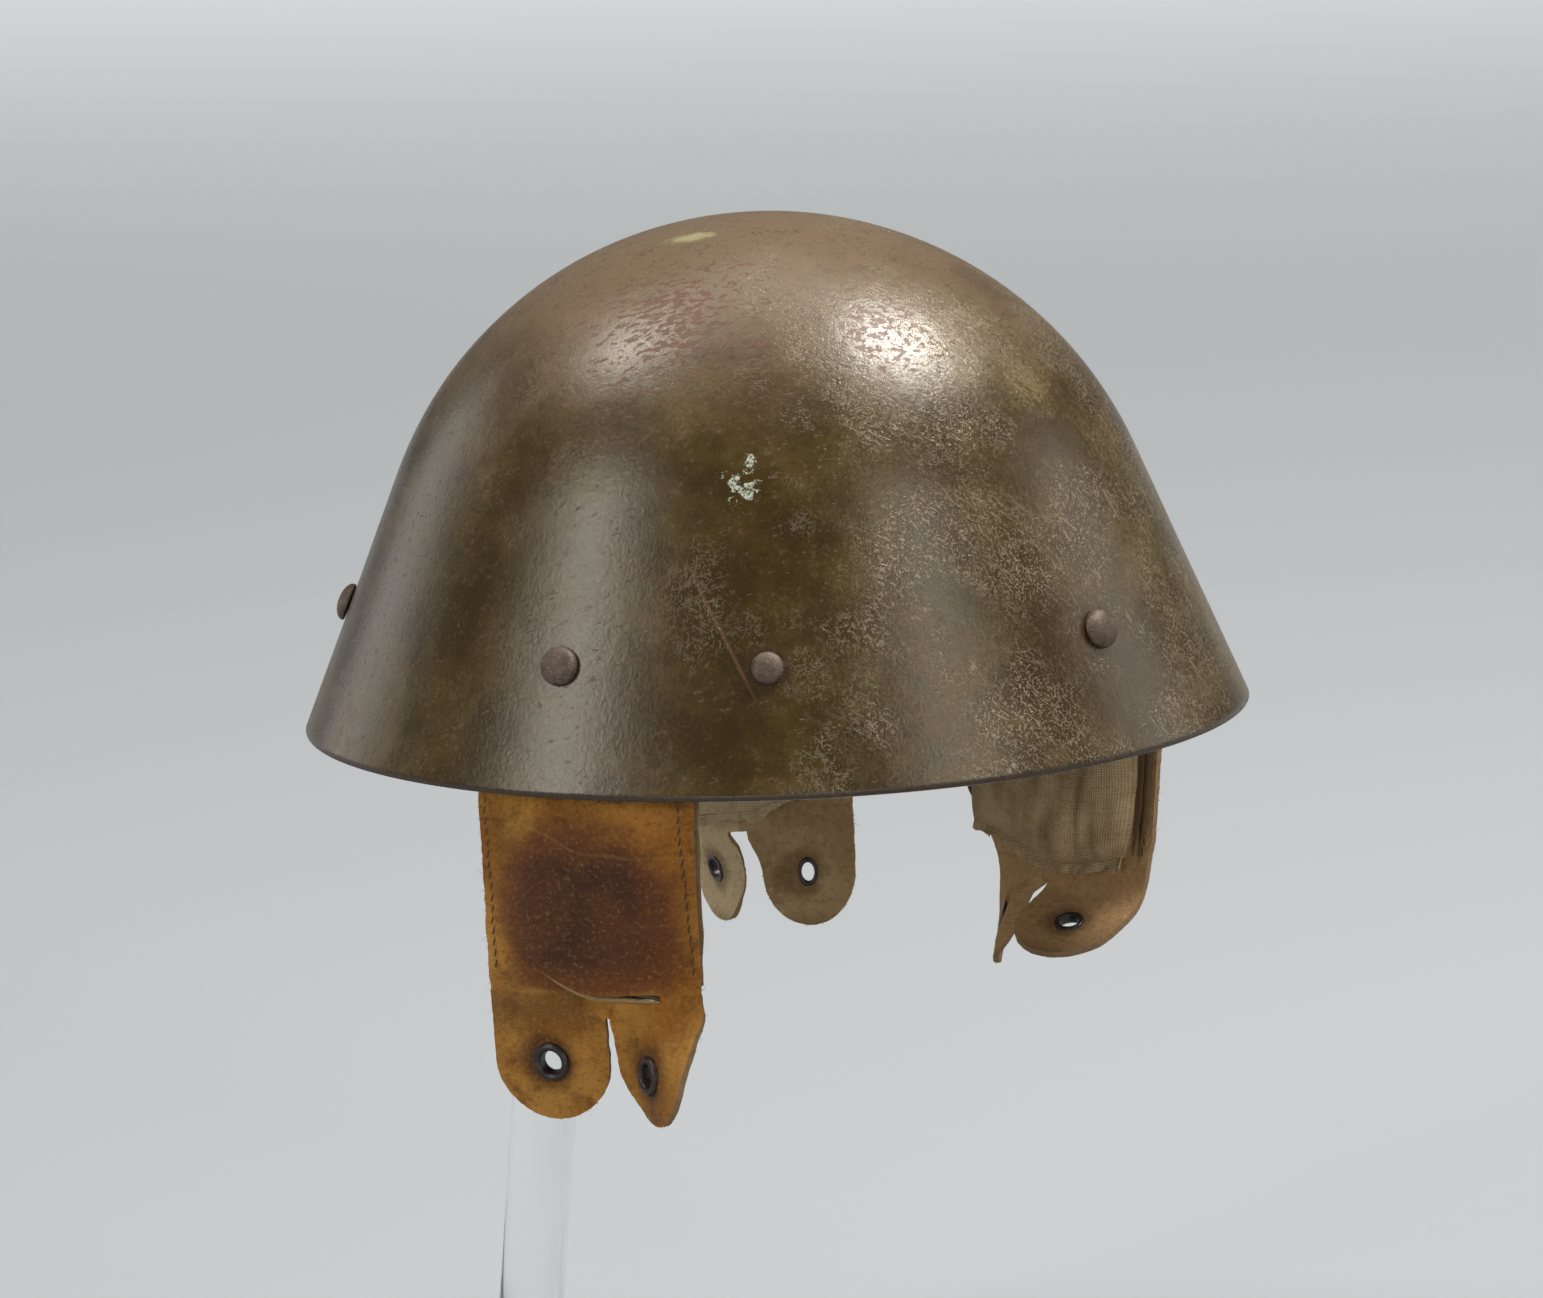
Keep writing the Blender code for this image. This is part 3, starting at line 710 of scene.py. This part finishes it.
def side_back(pad, down):
    """How far the leather's second side is cut back from the hem."""
    slot = pad["length"] - SLOT_RISE
    return float(0.0028 + 0.0014 * ease((down - 0.03) / 0.04)
                 - 0.0042 * ease((down - slot + pad["back_until"]) / 0.009))


def pad_outline(pad):
    """The cut pattern: straight sides, two round lobes and the slit, that is closed at first
    and opens between the lobes."""
    length, half, slit = pad["length"], PAD_WIDTH / 2, SLOT_CUT
    slit_top, centre = length - SLIT_LENGTH + SLIT_CLOSED, length - LOBE_RADIUS
    first = (-half + pad["trim_side"], pad["slit_at"] - slit - pad["trim_slit"])
    outline = [(-half, 0.0), (-half, slit_top - 0.020)]
    outline += [(-half + pad["trim_side"] * float(ease(i / 12)), slit_top - 0.020 + 0.035 * i / 12)
                for i in range(1, 12)]
    middle, radius = (first[0] + first[1]) / 2, (first[1] - first[0]) / 2
    arc = [radians(a) for a in range(180, -1, -4)]
    outline += [(middle + radius * cos(a), centre + LOBE_RADIUS * sin(a)) for a in arc]
    outline += [(pad["slit_at"] - slit - pad["trim_slit"] * float(ease(i / 10)),
                 slit_top + (centre - slit_top) * i / 10) for i in range(9, -1, -1)]
    slit = slit + pad["slit_at"]
    outline += [(slit + pad["trim_second"] * (1 - 0.45 * float(ease(i / 10))),
                 slit_top + (centre - 0.001 - slit_top) * i / 10) for i in range(11)]
    slit = slit + pad["trim_second"] * 0.55
    middle, radius = (half + slit) / 2, (half - slit) / 2
    outline += [(middle + radius * cos(a), centre + (LOBE_RADIUS - pad["tip"]) * sin(a))
                for a in arc]
    outline = divided(outline + [(half, centre - 0.001), (half, 0.0)], 0.0012)
    reach = [half - side_back(pad, down) for _, down in outline]
    outline = [(min(side, far), down) for (side, down), far in zip(outline, reach)]
    return [here for here, last in zip(outline, outline[-1:] + outline)
            if hypot(here[0] - last[0], here[1] - last[1]) > 1e-4]


def eyelet_sides(pad):
    """The eyelets sit in the middle of their lobes."""
    return (-LOBE_RADIUS + (pad["slit_at"] - pad["trim_slit"]) / 2,
            LOBE_RADIUS + (pad["slit_at"] + pad["trim_second"] * 0.55) / 2)


def slot_line(pad, share):
    side = -0.0176 + share * 0.0374
    return side, float(slot_down(pad, side))


def flat_prism(loops, thickness):
    curve = bpy.data.curves.new("pattern", "CURVE")
    curve.dimensions = "2D"
    curve.fill_mode = "BOTH"
    curve.extrude = thickness / 2
    for loop in loops:
        spline = curve.splines.new("POLY")
        spline.points.add(len(loop) - 1)
        for point, (side, down) in zip(spline.points, loop):
            point.co = (side, -down, 0.0, 1.0)
        spline.use_cyclic_u = True
    solid = link(bpy.data.objects.new("pattern", curve))
    graph = bpy.context.evaluated_depsgraph_get()
    mesh = bpy.data.meshes.new_from_object(solid.evaluated_get(graph))
    bpy.data.objects.remove(solid)
    edit = bmesh.new()
    edit.from_mesh(mesh)
    weld(edit)
    face_out(edit)
    edit.to_mesh(mesh)
    edit.free()
    return bpy.data.objects.new("pattern", mesh)


def flat_slab(width, top, end, cell, thickness):
    edit = bmesh.new()
    bmesh.ops.create_grid(edit, x_segments=round(width / cell),
                          y_segments=round((end - top) / cell), size=0.5)
    for vert in edit.verts:
        vert.co = (vert.co.x * width, -top - (0.5 - vert.co.y) * (end - top), thickness / 2)
    sheet = list(edit.faces)
    back = bmesh.ops.extrude_face_region(edit, geom=sheet)
    for vert in [g for g in back["geom"] if isinstance(g, bmesh.types.BMVert)]:
        vert.co.z = -thickness / 2
    face_out(edit)
    return edit


def cut_to(slab_edit, pattern):
    """Keep what is inside the pattern, as a fresh bmesh of triangles."""
    slab = link(bpy.data.objects.new("cut", mesh_of("cut", slab_edit)))
    link(pattern)
    cut = slab.modifiers.new("cut", "BOOLEAN")
    cut.operation = "INTERSECT"
    cut.solver = "EXACT"
    cut.object = pattern
    graph = bpy.context.evaluated_depsgraph_get()
    result = bpy.data.meshes.new_from_object(slab.evaluated_get(graph))
    bpy.data.objects.remove(slab)
    bpy.data.objects.remove(pattern)
    edit = bmesh.new()
    edit.from_mesh(result)
    weld(edit, 2e-6)
    bmesh.ops.triangulate(edit, faces=edit.faces)
    return edit


def keep_flat_map(edit, pad):
    """Store the flat pad's place in the map 'flat': one unit is 100 mm, and the lobes' ends
    are at 1.275."""
    layer = edit.loops.layers.uv.new("flat")
    end = pad["length"]
    for face in edit.faces:
        for loop in face.loops:
            x, y, _ = loop.vert.co
            loop[layer].uv = (x * 10.0, (-y - end) * 10.0 + 1.275)


def hang_mesh(edit, pad, relief=None):
    co = np.array([vert.co for vert in edit.verts])
    side, down, out = co[:, 0], -co[:, 1], co[:, 2]
    if relief is not None:
        out = out + relief(pad, side, down)
    for vert, point in zip(edit.verts, hang(pad, side, down, out)):
        vert.co = point


hide = Finish("pad_leather_grain", Specular_IOR_Level=0.20)
flat = hide.flat()
across = hide.part(flat, "X")
down = hide.part(flat, "Y")
cloud = hide.noise(flat, 3.2, 5.0, 0.6)
blotch = hide.noise(flat, 12.0, 5.0, 0.65, shift=(4.0, 1.0, 0.0))
pores = hide.cells(flat, 130.0)
fine = hide.noise(flat, 65.0, 5.0, 0.75)
creases = hide.noise(hide.turned(flat, (0.0, 0.0, 0.6), (9.0, 30.0, 1.0)), 2.4, 5.0, 0.68)
hide.start(cloud.step(0.35, 0.65), (0.235, 0.092, 0.008), (0.440, 0.212, 0.040))
warm = across.step(-0.05, 0.25) * down.step(1.00, 0.86)
hide.coat(warm * 0.6, (0.275, 0.100, 0.012))
hide.coat(blotch.step(0.50, 0.70) * 0.75, (0.135, 0.046, 0.007))
neck = down + (blotch - 0.5) * 0.2
neck = neck.step(0.84, 0.90) * neck.step(1.04, 0.94) * across.step(0.02, -0.08)
hide.coat(neck * 0.55, (0.105, 0.048, 0.012))
reach = hide.near(hide.moved(flat, (1.05, 0.88, 0.0), (0.02, -0.60, 0.0)), (0.0, 0.0, 0.0))
reach = reach + (cloud - 0.5) * 0.14 + (blotch - 0.5) * 0.16
above_slot = down.step(0.895, 0.865)
ring = reach.step(0.36, 0.24) * above_slot
hide.coat(ring * 0.85, (0.125, 0.034, 0.009))
stain = reach.step(0.31, 0.15) * down.step(0.90, 0.76) * above_slot
depth = hide.noise(flat, 5.0, 5.0, 0.6, shift=(1.0, 7.0, 0.0))
hide.coat(stain * (depth.step(0.62, 0.36) * 0.45 + 0.50), (0.040, 0.016, 0.009))
hide.coat((creases * 0.6 + blotch * 0.4).step(0.58, 0.70) * 0.35, (0.300, 0.115, 0.038))
for place in LOBE_MAP_SIDES:
    halo = hide.near(flat, (place, LOBE_MAP_ROW, 0.0)) + (blotch - 0.5) * 0.05
    hide.coat(halo.step(0.115, 0.055) * 0.75, (0.050, 0.017, 0.007))
crease_line = (down - 0.385 + (across - 0.02).step(-0.22, 0.02) * -0.075
               + (cloud - 0.5) * 0.05).math("ABSOLUTE")
crease_line = crease_line + (blotch - 0.5) * 0.02
hide.coat(crease_line.step(0.007, 0.001) * 0.15, (0.40, 0.24, 0.09))
hide.coat(fine.step(0.52, 0.70) * 0.45, (0.420, 0.225, 0.070))
hide.coat(fine.step(0.48, 0.32) * 0.60, (0.080, 0.028, 0.007))
relief = (pores * 0.30 + creases * 1.1 + blotch * 0.6 + fine * 0.4
          - crease_line.step(0.02, 0.0) * 0.6)
hide.look(0.48 + blotch * 0.20 - stain * 0.06, None, relief, 0.0015)

suede = Finish("pad_leather_suede", Specular_IOR_Level=0.08)
flat = suede.flat()
nap = suede.noise(flat, 48.0, 5.0, 0.72)
cloud = suede.noise(flat, 5.0, 5.0, 0.6)
down = suede.part(flat, "Y")
suede.start(cloud.step(0.3, 0.7), (0.240, 0.155, 0.070), (0.340, 0.235, 0.118))
forward = suede.part(suede.point(), "X").step(0.03, 0.05)
suede.coat(forward * 0.75, (0.390, 0.225, 0.100))
pale = (suede.part(suede.point(), "Y").step(0.078, 0.088)
        * suede.part(flat, "X").step(0.0, 0.04) * suede.part(suede.point(), "X").step(0.03, 0.01))
suede.coat(pale * 0.5, (0.620, 0.500, 0.310))
for place in LOBE_MAP_SIDES:
    halo = suede.near(flat, (place, LOBE_MAP_ROW, 0.0)) + (cloud - 0.5) * 0.08
    suede.coat(halo.step(0.100, 0.060) * 0.55, (0.075, 0.034, 0.014))
suede.coat(nap.step(0.50, 0.72) * 0.6, (0.110, 0.066, 0.028))
suede.coat(nap.step(0.46, 0.28) * 0.4, (0.500, 0.380, 0.220))
suede.coat(down.step(1.22, 1.275) * 0.4, (0.100, 0.055, 0.022))
suede.look(0.95, None, nap + cloud * 0.6, 0.0016)


def fine_finish(name, specular, grain, dark, light, roughness, depth):
    """A plain finish whose tone and relief follow one fine grain."""
    finish = Finish(name, Specular_IOR_Level=specular)
    tone = finish.noise(finish.point(), *grain)
    finish.start(tone, dark, light)
    finish.look(roughness, None, tone, depth)
    return finish


cut_edge = fine_finish("pad_leather_edge", 0.15, (900.0, 4.0, 0.7), (0.090, 0.048, 0.020),
                       (0.300, 0.200, 0.110), 0.9, 0.0005)

for name, pad in PADS.items():
    length = pad["length"]
    holes = [[(centre + EYELET_CUT * wide * cos(a), length - LOBE_RADIUS + EYELET_CUT * sin(a))
              for a in np.linspace(0.0, tau, 32, endpoint=False)]
             for centre, wide in zip(eyelet_sides(pad), (pad["eyelet"], 1.0))]
    slot = [slot_line(pad, i / 20) for i in range(21)]
    holes.append([(s, d - SLOT_CUT) for s, d in slot] + [(s, d + SLOT_CUT) for s, d in slot[::-1]])
    pattern = flat_prism([rough_edge(pad_outline(pad), pad["seed"])] + holes, PAD_LEATHER * 3)
    edit = cut_to(flat_slab(PAD_WIDTH + 0.004, -0.002, length + 0.002, 0.00125, PAD_LEATHER),
                  pattern)
    keep_flat_map(edit, pad)
    for face in edit.faces:
        if abs(face.normal.z) < 0.7:
            face.material_index = 2
        elif face.normal.z < 0:
            face.material_index = 1
    hang_mesh(edit, pad, pad_relief)
    panel = add_piece(name + "_panel", edit, 50.0, hide, suede, cut_edge)
    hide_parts(name + "_leather")


# Stitching: one row of dark waxed thread down each side of a pad, that sews the cloth pocket
# to the leather. Each stitch is its own short loop of thread, lying in its groove.
STITCH = 0.0029
STITCH_PITCH = 0.0033
STITCH_RADIUS = 0.00034

thread = fine_finish("stitch_thread", 0.3, (1500.0, 2.0), (0.030, 0.016, 0.008),
                     (0.085, 0.050, 0.026), 0.7, 0.0002)

for name, pad in PADS.items():
    edit = bmesh.new()
    places = []
    end = pad["length"] - 0.041
    for row in (0, 1):
        for number in range(int((end - 0.004) / STITCH_PITCH)):
            down = 0.004 + (number + 0.5) * STITCH_PITCH
            sway = uneven(number * 0.7, row * 9.0, pad["seed"]) * 0.0004
            places.append((float(stitch_side(row, down)) + sway, down))
    for face_side in (1, -1):
        for number, (side, down) in enumerate(places):
            spun = bmesh.ops.create_uvsphere(edit, u_segments=8, v_segments=6, radius=1.0)
            tilt = 0.00035 + 0.0003 * uneven(number * 1.3, 0.0, pad["seed"])
            for vert in spun["verts"]:
                x, y, z = vert.co
                vert.co = (side + x * STITCH_RADIUS + y * tilt, -down + y * STITCH * 0.5,
                           face_side * (PAD_LEATHER / 2 + 0.00002) + z * STITCH_RADIUS)
    hang_mesh(edit, pad, pad_relief)
    rows = add_piece(name + "_stitching", edit, 60.0, thread)


# Pocket lips: the cream edge of the cloth pocket, turned out through the slot in the leather.
lip_cloth = fine_finish("lip_cloth", 0.1, (1800.0, 3.0), (0.150, 0.092, 0.036),
                        (0.360, 0.260, 0.135), 0.95, 0.0004)


def tube_edit(rows, radius, sides=8):
    """Closed tube through points; radius may be a function of the share of its length."""
    edit = bmesh.new()
    rows = [Vector(row) for row in rows]
    rings = []
    for number, point in enumerate(rows):
        ahead = rows[min(number + 1, len(rows) - 1)] - rows[max(number - 1, 0)]
        turn = ahead.to_track_quat("Z", "Y").to_matrix()
        share = number / (len(rows) - 1)
        size = radius(share) if callable(radius) else radius
        rings.append([
            edit.verts.new(point + turn @ Vector((
                size * cos(tau * k / sides), size * sin(tau * k / sides), 0.0)))
            for k in range(sides)])
    loops = [[edit.edges.new((ring[k], ring[(k + 1) % sides])) for k in range(sides)]
             for ring in rings]
    for first, second in zip(loops, loops[1:]):
        bmesh.ops.bridge_loops(edit, edges=first + second)
    edit.faces.new(rings[0])
    edit.faces.new(rings[-1])
    face_out(edit)
    return edit


def absorb(edit, other):
    """Add another bmesh to this one."""
    mesh = mesh_of("part", other)
    edit.from_mesh(mesh)
    bpy.data.meshes.remove(mesh)


LIP_STEPS = 36

for name, pad in PADS.items():
    edit = bmesh.new()
    for below, size, level in ((0.0010, 0.00085, -0.0001), (-0.0001, 0.0010, -0.0026)):
        rows = []
        for i in range(LIP_STEPS + 1):
            side, down = slot_line(pad, i / LIP_STEPS)
            sway = uneven(i * 0.5, below * 3000.0, pad["seed"]) * 0.0003
            rows.append((side, -(down + below + sway), PAD_LEATHER / 2 + level))
        absorb(edit, tube_edit(rows, lambda t, s=size: s * (0.15 + 0.85 * sin(
            pi * min(max(t, 0.02), 0.98)) ** 0.6)))
    hang_mesh(edit, pad)
    lips = add_piece(name + "_pocket_lips", edit, 60.0, lip_cloth)


# Pocket hems: the turned edge of the cloth pocket, which shows as a strip beside each pad.
hem_cloth = Finish("hem_cloth", Specular_IOR_Level=0.1)
at = hem_cloth.point()
threads = hem_cloth.noise(at, 1500.0, 3.0, 0.65)
wear = hem_cloth.noise(at, 120.0, 4.0)
hem_cloth.start(wear, (0.125, 0.072, 0.030), (0.260, 0.165, 0.080))
hem_cloth.coat(hem_cloth.part(at, "X").step(0.02, 0.05) * 0.7, (0.075, 0.045, 0.022))
hem_cloth.coat(threads.step(0.4, 0.7) * 0.5, (0.070, 0.048, 0.028))
hem_cloth.look(0.95, None, threads, 0.0004)

HEM_STEPS = 60
HEM_RADIUS = 0.0010
HEM_SIDES = 12

for name, pad in PADS.items():
    edit = bmesh.new()
    end = pad["length"] - 0.043
    for row, width, level in ((1, 0.0013, -0.0010), (-1, 0.0022, -0.0013), (-2, 0.0020, -0.0026)):
        rows = []
        for i in range(HEM_STEPS + 1):
            down = 0.002 + (end - 0.002) * i / HEM_STEPS
            if row == 1:
                side = PAD_WIDTH / 2 - side_back(pad, down) + 0.0002 - width * 0.3
            else:
                side = -PAD_WIDTH / 2 + 0.0015 - 0.0015 * row
            sway = uneven(down * 120.0, row * 3.0, pad["seed"]) * 0.0006
            rows.append((side + sway, -down, -PAD_LEATHER / 2 + level + sway * 0.4))
        welt = tube_edit(rows, HEM_RADIUS, HEM_SIDES)
        for number, vert in enumerate(welt.verts):
            step = number // HEM_SIDES
            side, _, level_here = rows[step]
            thin = 0.2 + 0.8 * (1 - float(ease((step - 48) / 12)))
            vert.co.x = side + (vert.co.x - side) * thin * width / HEM_RADIUS
            vert.co.z = level_here + (vert.co.z - level_here) * 0.55 * thin
        absorb(edit, welt)
    hang_mesh(edit, pad, pad_relief)
    hem = add_piece(name + "_pocket_hem", edit, 60.0, hem_cloth)


# Frayed fibres: fine hairs of leather that stand out from the cut edges of each pad.
loose_fibres = Finish("loose_fibres", Specular_IOR_Level=0.1)
loose_fibres.colour = (0.170, 0.110, 0.055)
loose_fibres.look(0.95)

for name, pad in PADS.items():
    edit = bmesh.new()
    outline = [p for p in pad_outline(pad) if p[1] > 0.030]
    picks = np.random.default_rng(int(pad["seed"]) + 20)
    for _ in range(150):
        index = int(picks.integers(1, len(outline) - 1))
        (s0, d0), (s1, d1) = outline[index - 1], outline[index + 1]
        run = Vector((s1 - s0, d1 - d0))
        start = Vector(outline[index])
        if not 1e-6 <= run.length <= 0.004 or abs(start.x) < 0.003:
            continue
        out = Vector((run.y, -run.x)).normalized()
        if out.x * start.x < 0 and start.y < 0.10:
            out = -out
        reach = 0.0006 + 0.0016 * float(picks.random()) ** 2
        lean = run.normalized() * reach * float(picks.normal(0, 0.9))
        level = float(picks.uniform(-0.8, 0.8)) * PAD_LEATHER / 2
        rows = [start - out * 0.0004, start + out * reach * 0.5 + lean * 0.3,
                start + out * reach + lean]
        rows = [(p.x, -p.y, level + i * float(picks.normal(0, 0.0003)))
                for i, p in enumerate(rows)]
        absorb(edit, tube_edit(rows, lambda t: 0.00009 * (1.1 - t), 3))
    hang_mesh(edit, pad, pad_relief)
    hairs = add_piece(name + "_fibres", edit, 80.0, loose_fibres)


# Eyelets: pressed steel rings in black enamel, one in each lobe, with a rolled flange on the
# grain side and a flatter one on the suede side.
EYELET_HOLE = 0.0034
EYELET_BARREL = 0.0042
EYELET_FLANGE = 0.0058
FLANGE_RISE = 0.0013
BACK_FLANGE = 0.00085
BACK_RADIUS = 0.00390

enamel = Finish("black_enamel", Specular_IOR_Level=0.35, Coat_Weight=0.15,
                Coat_Roughness=0.2)
wear = enamel.noise(enamel.point(), 500.0, 4.0)
enamel.start(wear.step(0.55, 0.72), (0.012, 0.007, 0.005), (0.050, 0.028, 0.015))
enamel.look(0.34 + wear * 0.2, None, wear, 0.00010)

for name, pad in PADS.items():
    down = pad["length"] - LOBE_RADIUS
    for kind, side in zip(("flat", "twisted"), eyelet_sides(pad)):
        face = PAD_LEATHER / 2 + 0.0001
        profile = []
        for i in range(11):
            angle = pi * i / 10
            middle_radius = (EYELET_HOLE + EYELET_FLANGE) / 2
            profile.append((middle_radius - cos(angle) * (EYELET_FLANGE - EYELET_HOLE) / 2,
                            face + sin(angle) * FLANGE_RISE))
        profile += [(EYELET_BARREL, face), (EYELET_BARREL, -face)]
        for i in range(9):
            angle = pi * i / 8
            profile.append((BACK_RADIUS + cos(angle) * BACK_FLANGE, -face - sin(angle) * 0.0007))
        profile.append(profile[0])
        edit = revolved(profile, 48)
        if kind == "flat":
            edit.transform(Matrix.Diagonal((pad["eyelet"], 1.0, 1.0, 1.0)))
        seat, front = (Vector(row) for row in hang(pad, [side] * 2, [down] * 2, [0.0, 0.01]))
        lift = pad_relief(pad, np.array([side]), np.array([down]))
        middle = Vector(hang(pad, [side], [down], lift)[0])
        facing = (front - seat).to_track_quat("Z", "Y")
        edit.transform(Matrix.Translation(middle) @ facing.to_matrix().to_4x4())
        ring = add_piece(f"{name}_eyelet_ring_{kind}", edit, 50.0, enamel)
        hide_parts(f"{name}_eyelet_{kind}")


# Cushions: padded pockets of plain-woven linen, sewn along the pads' sides behind the leather.
# The cloth is gathered into folds at the lower seam.
CUSHION_WIDTH = 0.060
CUSHION_TOP = 0.003
CUSHION_SEAT = 0.0008
CUSHION_EDGE = 0.0020

linen = Finish("cushion_cloth", Specular_IOR_Level=0.06)
flat = linen.flat()
weft = linen.node("TexWave", "Fac", {"bands_direction": "X"}, Vector=flat, Scale=42.0,
                  Distortion=1.6, Detail=2.0, Detail_Scale=1.6)
warp = linen.node("TexWave", "Fac", {"bands_direction": "Y"}, Vector=flat, Scale=42.0,
                  Distortion=1.6, Detail=2.0, Detail_Scale=1.6)
weave = weft * 0.5 + warp * 0.5
cloud = linen.noise(flat, 5.0, 5.0, 0.6)
slub = linen.noise(linen.moved(flat, (4.0, 60.0, 1.0)), 3.0, 3.0)
linen.start(cloud.step(0.3, 0.7), (0.235, 0.158, 0.076), (0.400, 0.290, 0.165))
pale = linen.part(linen.point(), "Y").step(0.088, 0.098)
linen.coat(pale * 0.4, (0.560, 0.450, 0.300))
fuzz = linen.noise(flat, 80.0, 3.0, 0.7)
linen.coat((weave * 0.6 + fuzz * 0.4).step(0.45, 0.80) * 0.50, (0.430, 0.320, 0.185))
linen.coat((weave * 0.6 + fuzz * 0.4).step(0.45, 0.20) * 0.50, (0.085, 0.052, 0.022))
linen.coat(slub.step(0.55, 0.75) * 0.4, (0.110, 0.070, 0.032))
linen.look(0.95, None, weave * 0.8 + fuzz * 0.6 + slub * 0.5, 0.0005)


def pocket_end(pad):
    """How far down the cushion reaches."""
    return pad["length"] - SLIT_LENGTH + LOBE_RADIUS * pad["cushion_end"]


def slanted(pad, across):
    """How much higher the cushion's lower seam lies at this share of its half width."""
    return pad["slant"] * ease((across + 0.5) / 1.5) + pad["slant_flat"] * ease(-across)


def hang_straight(edit, pad, side, down, out):
    """Hang cloth that is sewn above the lobes, so it takes no part in their turning."""
    plain = dict(pad, curl=0.0, twist=0.0)
    for vert, point in zip(edit.verts, hang(plain, side, down, out)):
        vert.co = point


for name, pad in PADS.items():
    end = pocket_end(pad)
    half_run = (end - CUSHION_TOP) / 2
    edit = flat_slab(CUSHION_WIDTH, CUSHION_TOP, end, 0.0012, 0.002)
    keep_flat_map(edit, pad)
    co = np.array([vert.co for vert in edit.verts])
    across = np.clip(co[:, 0] / (CUSHION_WIDTH / 2), -1.0, 1.0)
    along = np.clip((-co[:, 1] - CUSHION_TOP - half_run) / half_run, -1.0, 1.0)
    side = co[:, 0] * (1.0 - 0.10 * np.clip(along, 0, 1) ** 6)
    down = CUSHION_TOP + half_run + half_run * along * (1.0 - 0.05 * across**6)
    down = down - slanted(pad, across) * ease((along + 0.2) / 1.2)
    crown = (1 - np.abs(across) ** 3.4) ** 0.55 * (1 - np.abs(along) ** 4.5) ** 0.55
    pleats = ripple(side * 2.6 * (1 + 0.25 * along), down * 0.5, 75.0, pad["seed"])
    folds = pleats * 0.0040 * ease(along / 0.8)
    folds = folds + ripple(side, down, 45.0, pad["seed"] + 3) * 0.0020
    folds = folds + ripple(side, down, 130.0, pad["seed"] + 6) * 0.0003
    front = -(PAD_LEATHER / 2 + CUSHION_SEAT + CUSHION_EDGE * 0.6 + pad["puff"] * crown
              + folds * crown ** 0.5)
    out = np.where(co[:, 2] < 0, front, -(PAD_LEATHER / 2 + CUSHION_SEAT))
    hang_straight(edit, pad, side, down, out)
    cushion = add_piece(name + "_pocket", edit, 60.0, linen)
    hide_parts(name + "_cushion")


# Pocket fringes: the raw lower edge of the cloth, that sticks out crumpled below each cushion.
FRINGE_DIP = 0.0024392

for name, pad in PADS.items():
    edit = bmesh.new()
    bmesh.ops.create_grid(edit, x_segments=150, y_segments=8, size=0.5)
    edit.verts.ensure_lookup_table()
    layer = edit.loops.layers.uv.new("flat")
    co = np.array([vert.co for vert in edit.verts])
    across = co[:, 0] * 2
    side = co[:, 0] * (CUSHION_WIDTH - 0.007)
    share = 0.5 - co[:, 1]
    ragged = (ripple(side, side * 0.0, 400.0, pad["seed"]) * 0.0009
              + ripple(side, side * 0.0, 90.0, pad["seed"] + 5) * 0.0026)
    start = pocket_end(pad) - 0.0035 - FRINGE_DIP * np.abs(across) ** 6
    down = start + share * (0.0062 + ragged) - slanted(pad, across)
    wavy = ripple(side * 2.2, down, 110.0, pad["seed"] + 8) * 0.0020
    out = (-(PAD_LEATHER / 2 + CUSHION_SEAT + 0.0016) - np.abs(wavy) * (0.4 + share)
           - 0.0008 * share)
    for face in edit.faces:
        for loop in face.loops:
            index = loop.vert.index
            loop[layer].uv = (side[index] * 10, down[index] * 10)
    hang_straight(edit, pad, side, down, out)
    face_out(edit)
    bmesh.ops.solidify(edit, geom=edit.faces[:], thickness=0.0005)
    face_out(edit)
    fringe = add_piece(name + "_pocket_fringe", edit, 60.0, linen)


# Stand: clear acrylic, a flat base plate, a round post that leans, and an oval cap under the
# crown. The post is made finer; the plate and the cap keep their solids.
POST_RADIUS = 0.010
POST_LEAN = 0.115
POST_AT_RIM_X = -0.0625
CAP_DROP = 0.0197
CAP_THICKNESS = 0.008
POST_TOP = RIM_HEIGHT + CROWN_HEIGHT - CAP_DROP - CAP_THICKNESS - GAP
BASE_THICKNESS = 0.010

acrylic = Finish("clear_acrylic", Base_Color=(0.97, 0.98, 0.98, 1.0), Roughness=0.03, IOR=1.49,
                 Transmission_Weight=1.0)
edit = revolved([(0.0, POST_TOP), (POST_RADIUS, POST_TOP), (POST_RADIUS, BASE_THICKNESS + GAP),
                 (0.0, BASE_THICKNESS + GAP)], 96)
for vert in edit.verts:
    vert.co.x += POST_AT_RIM_X + POST_LEAN * (vert.co.z - RIM_HEIGHT)
post = add_piece("stand_post_round", edit, 40.0, acrylic)
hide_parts("stand_post")
dress("stand_base", acrylic)
dress("stand_cap", acrylic)
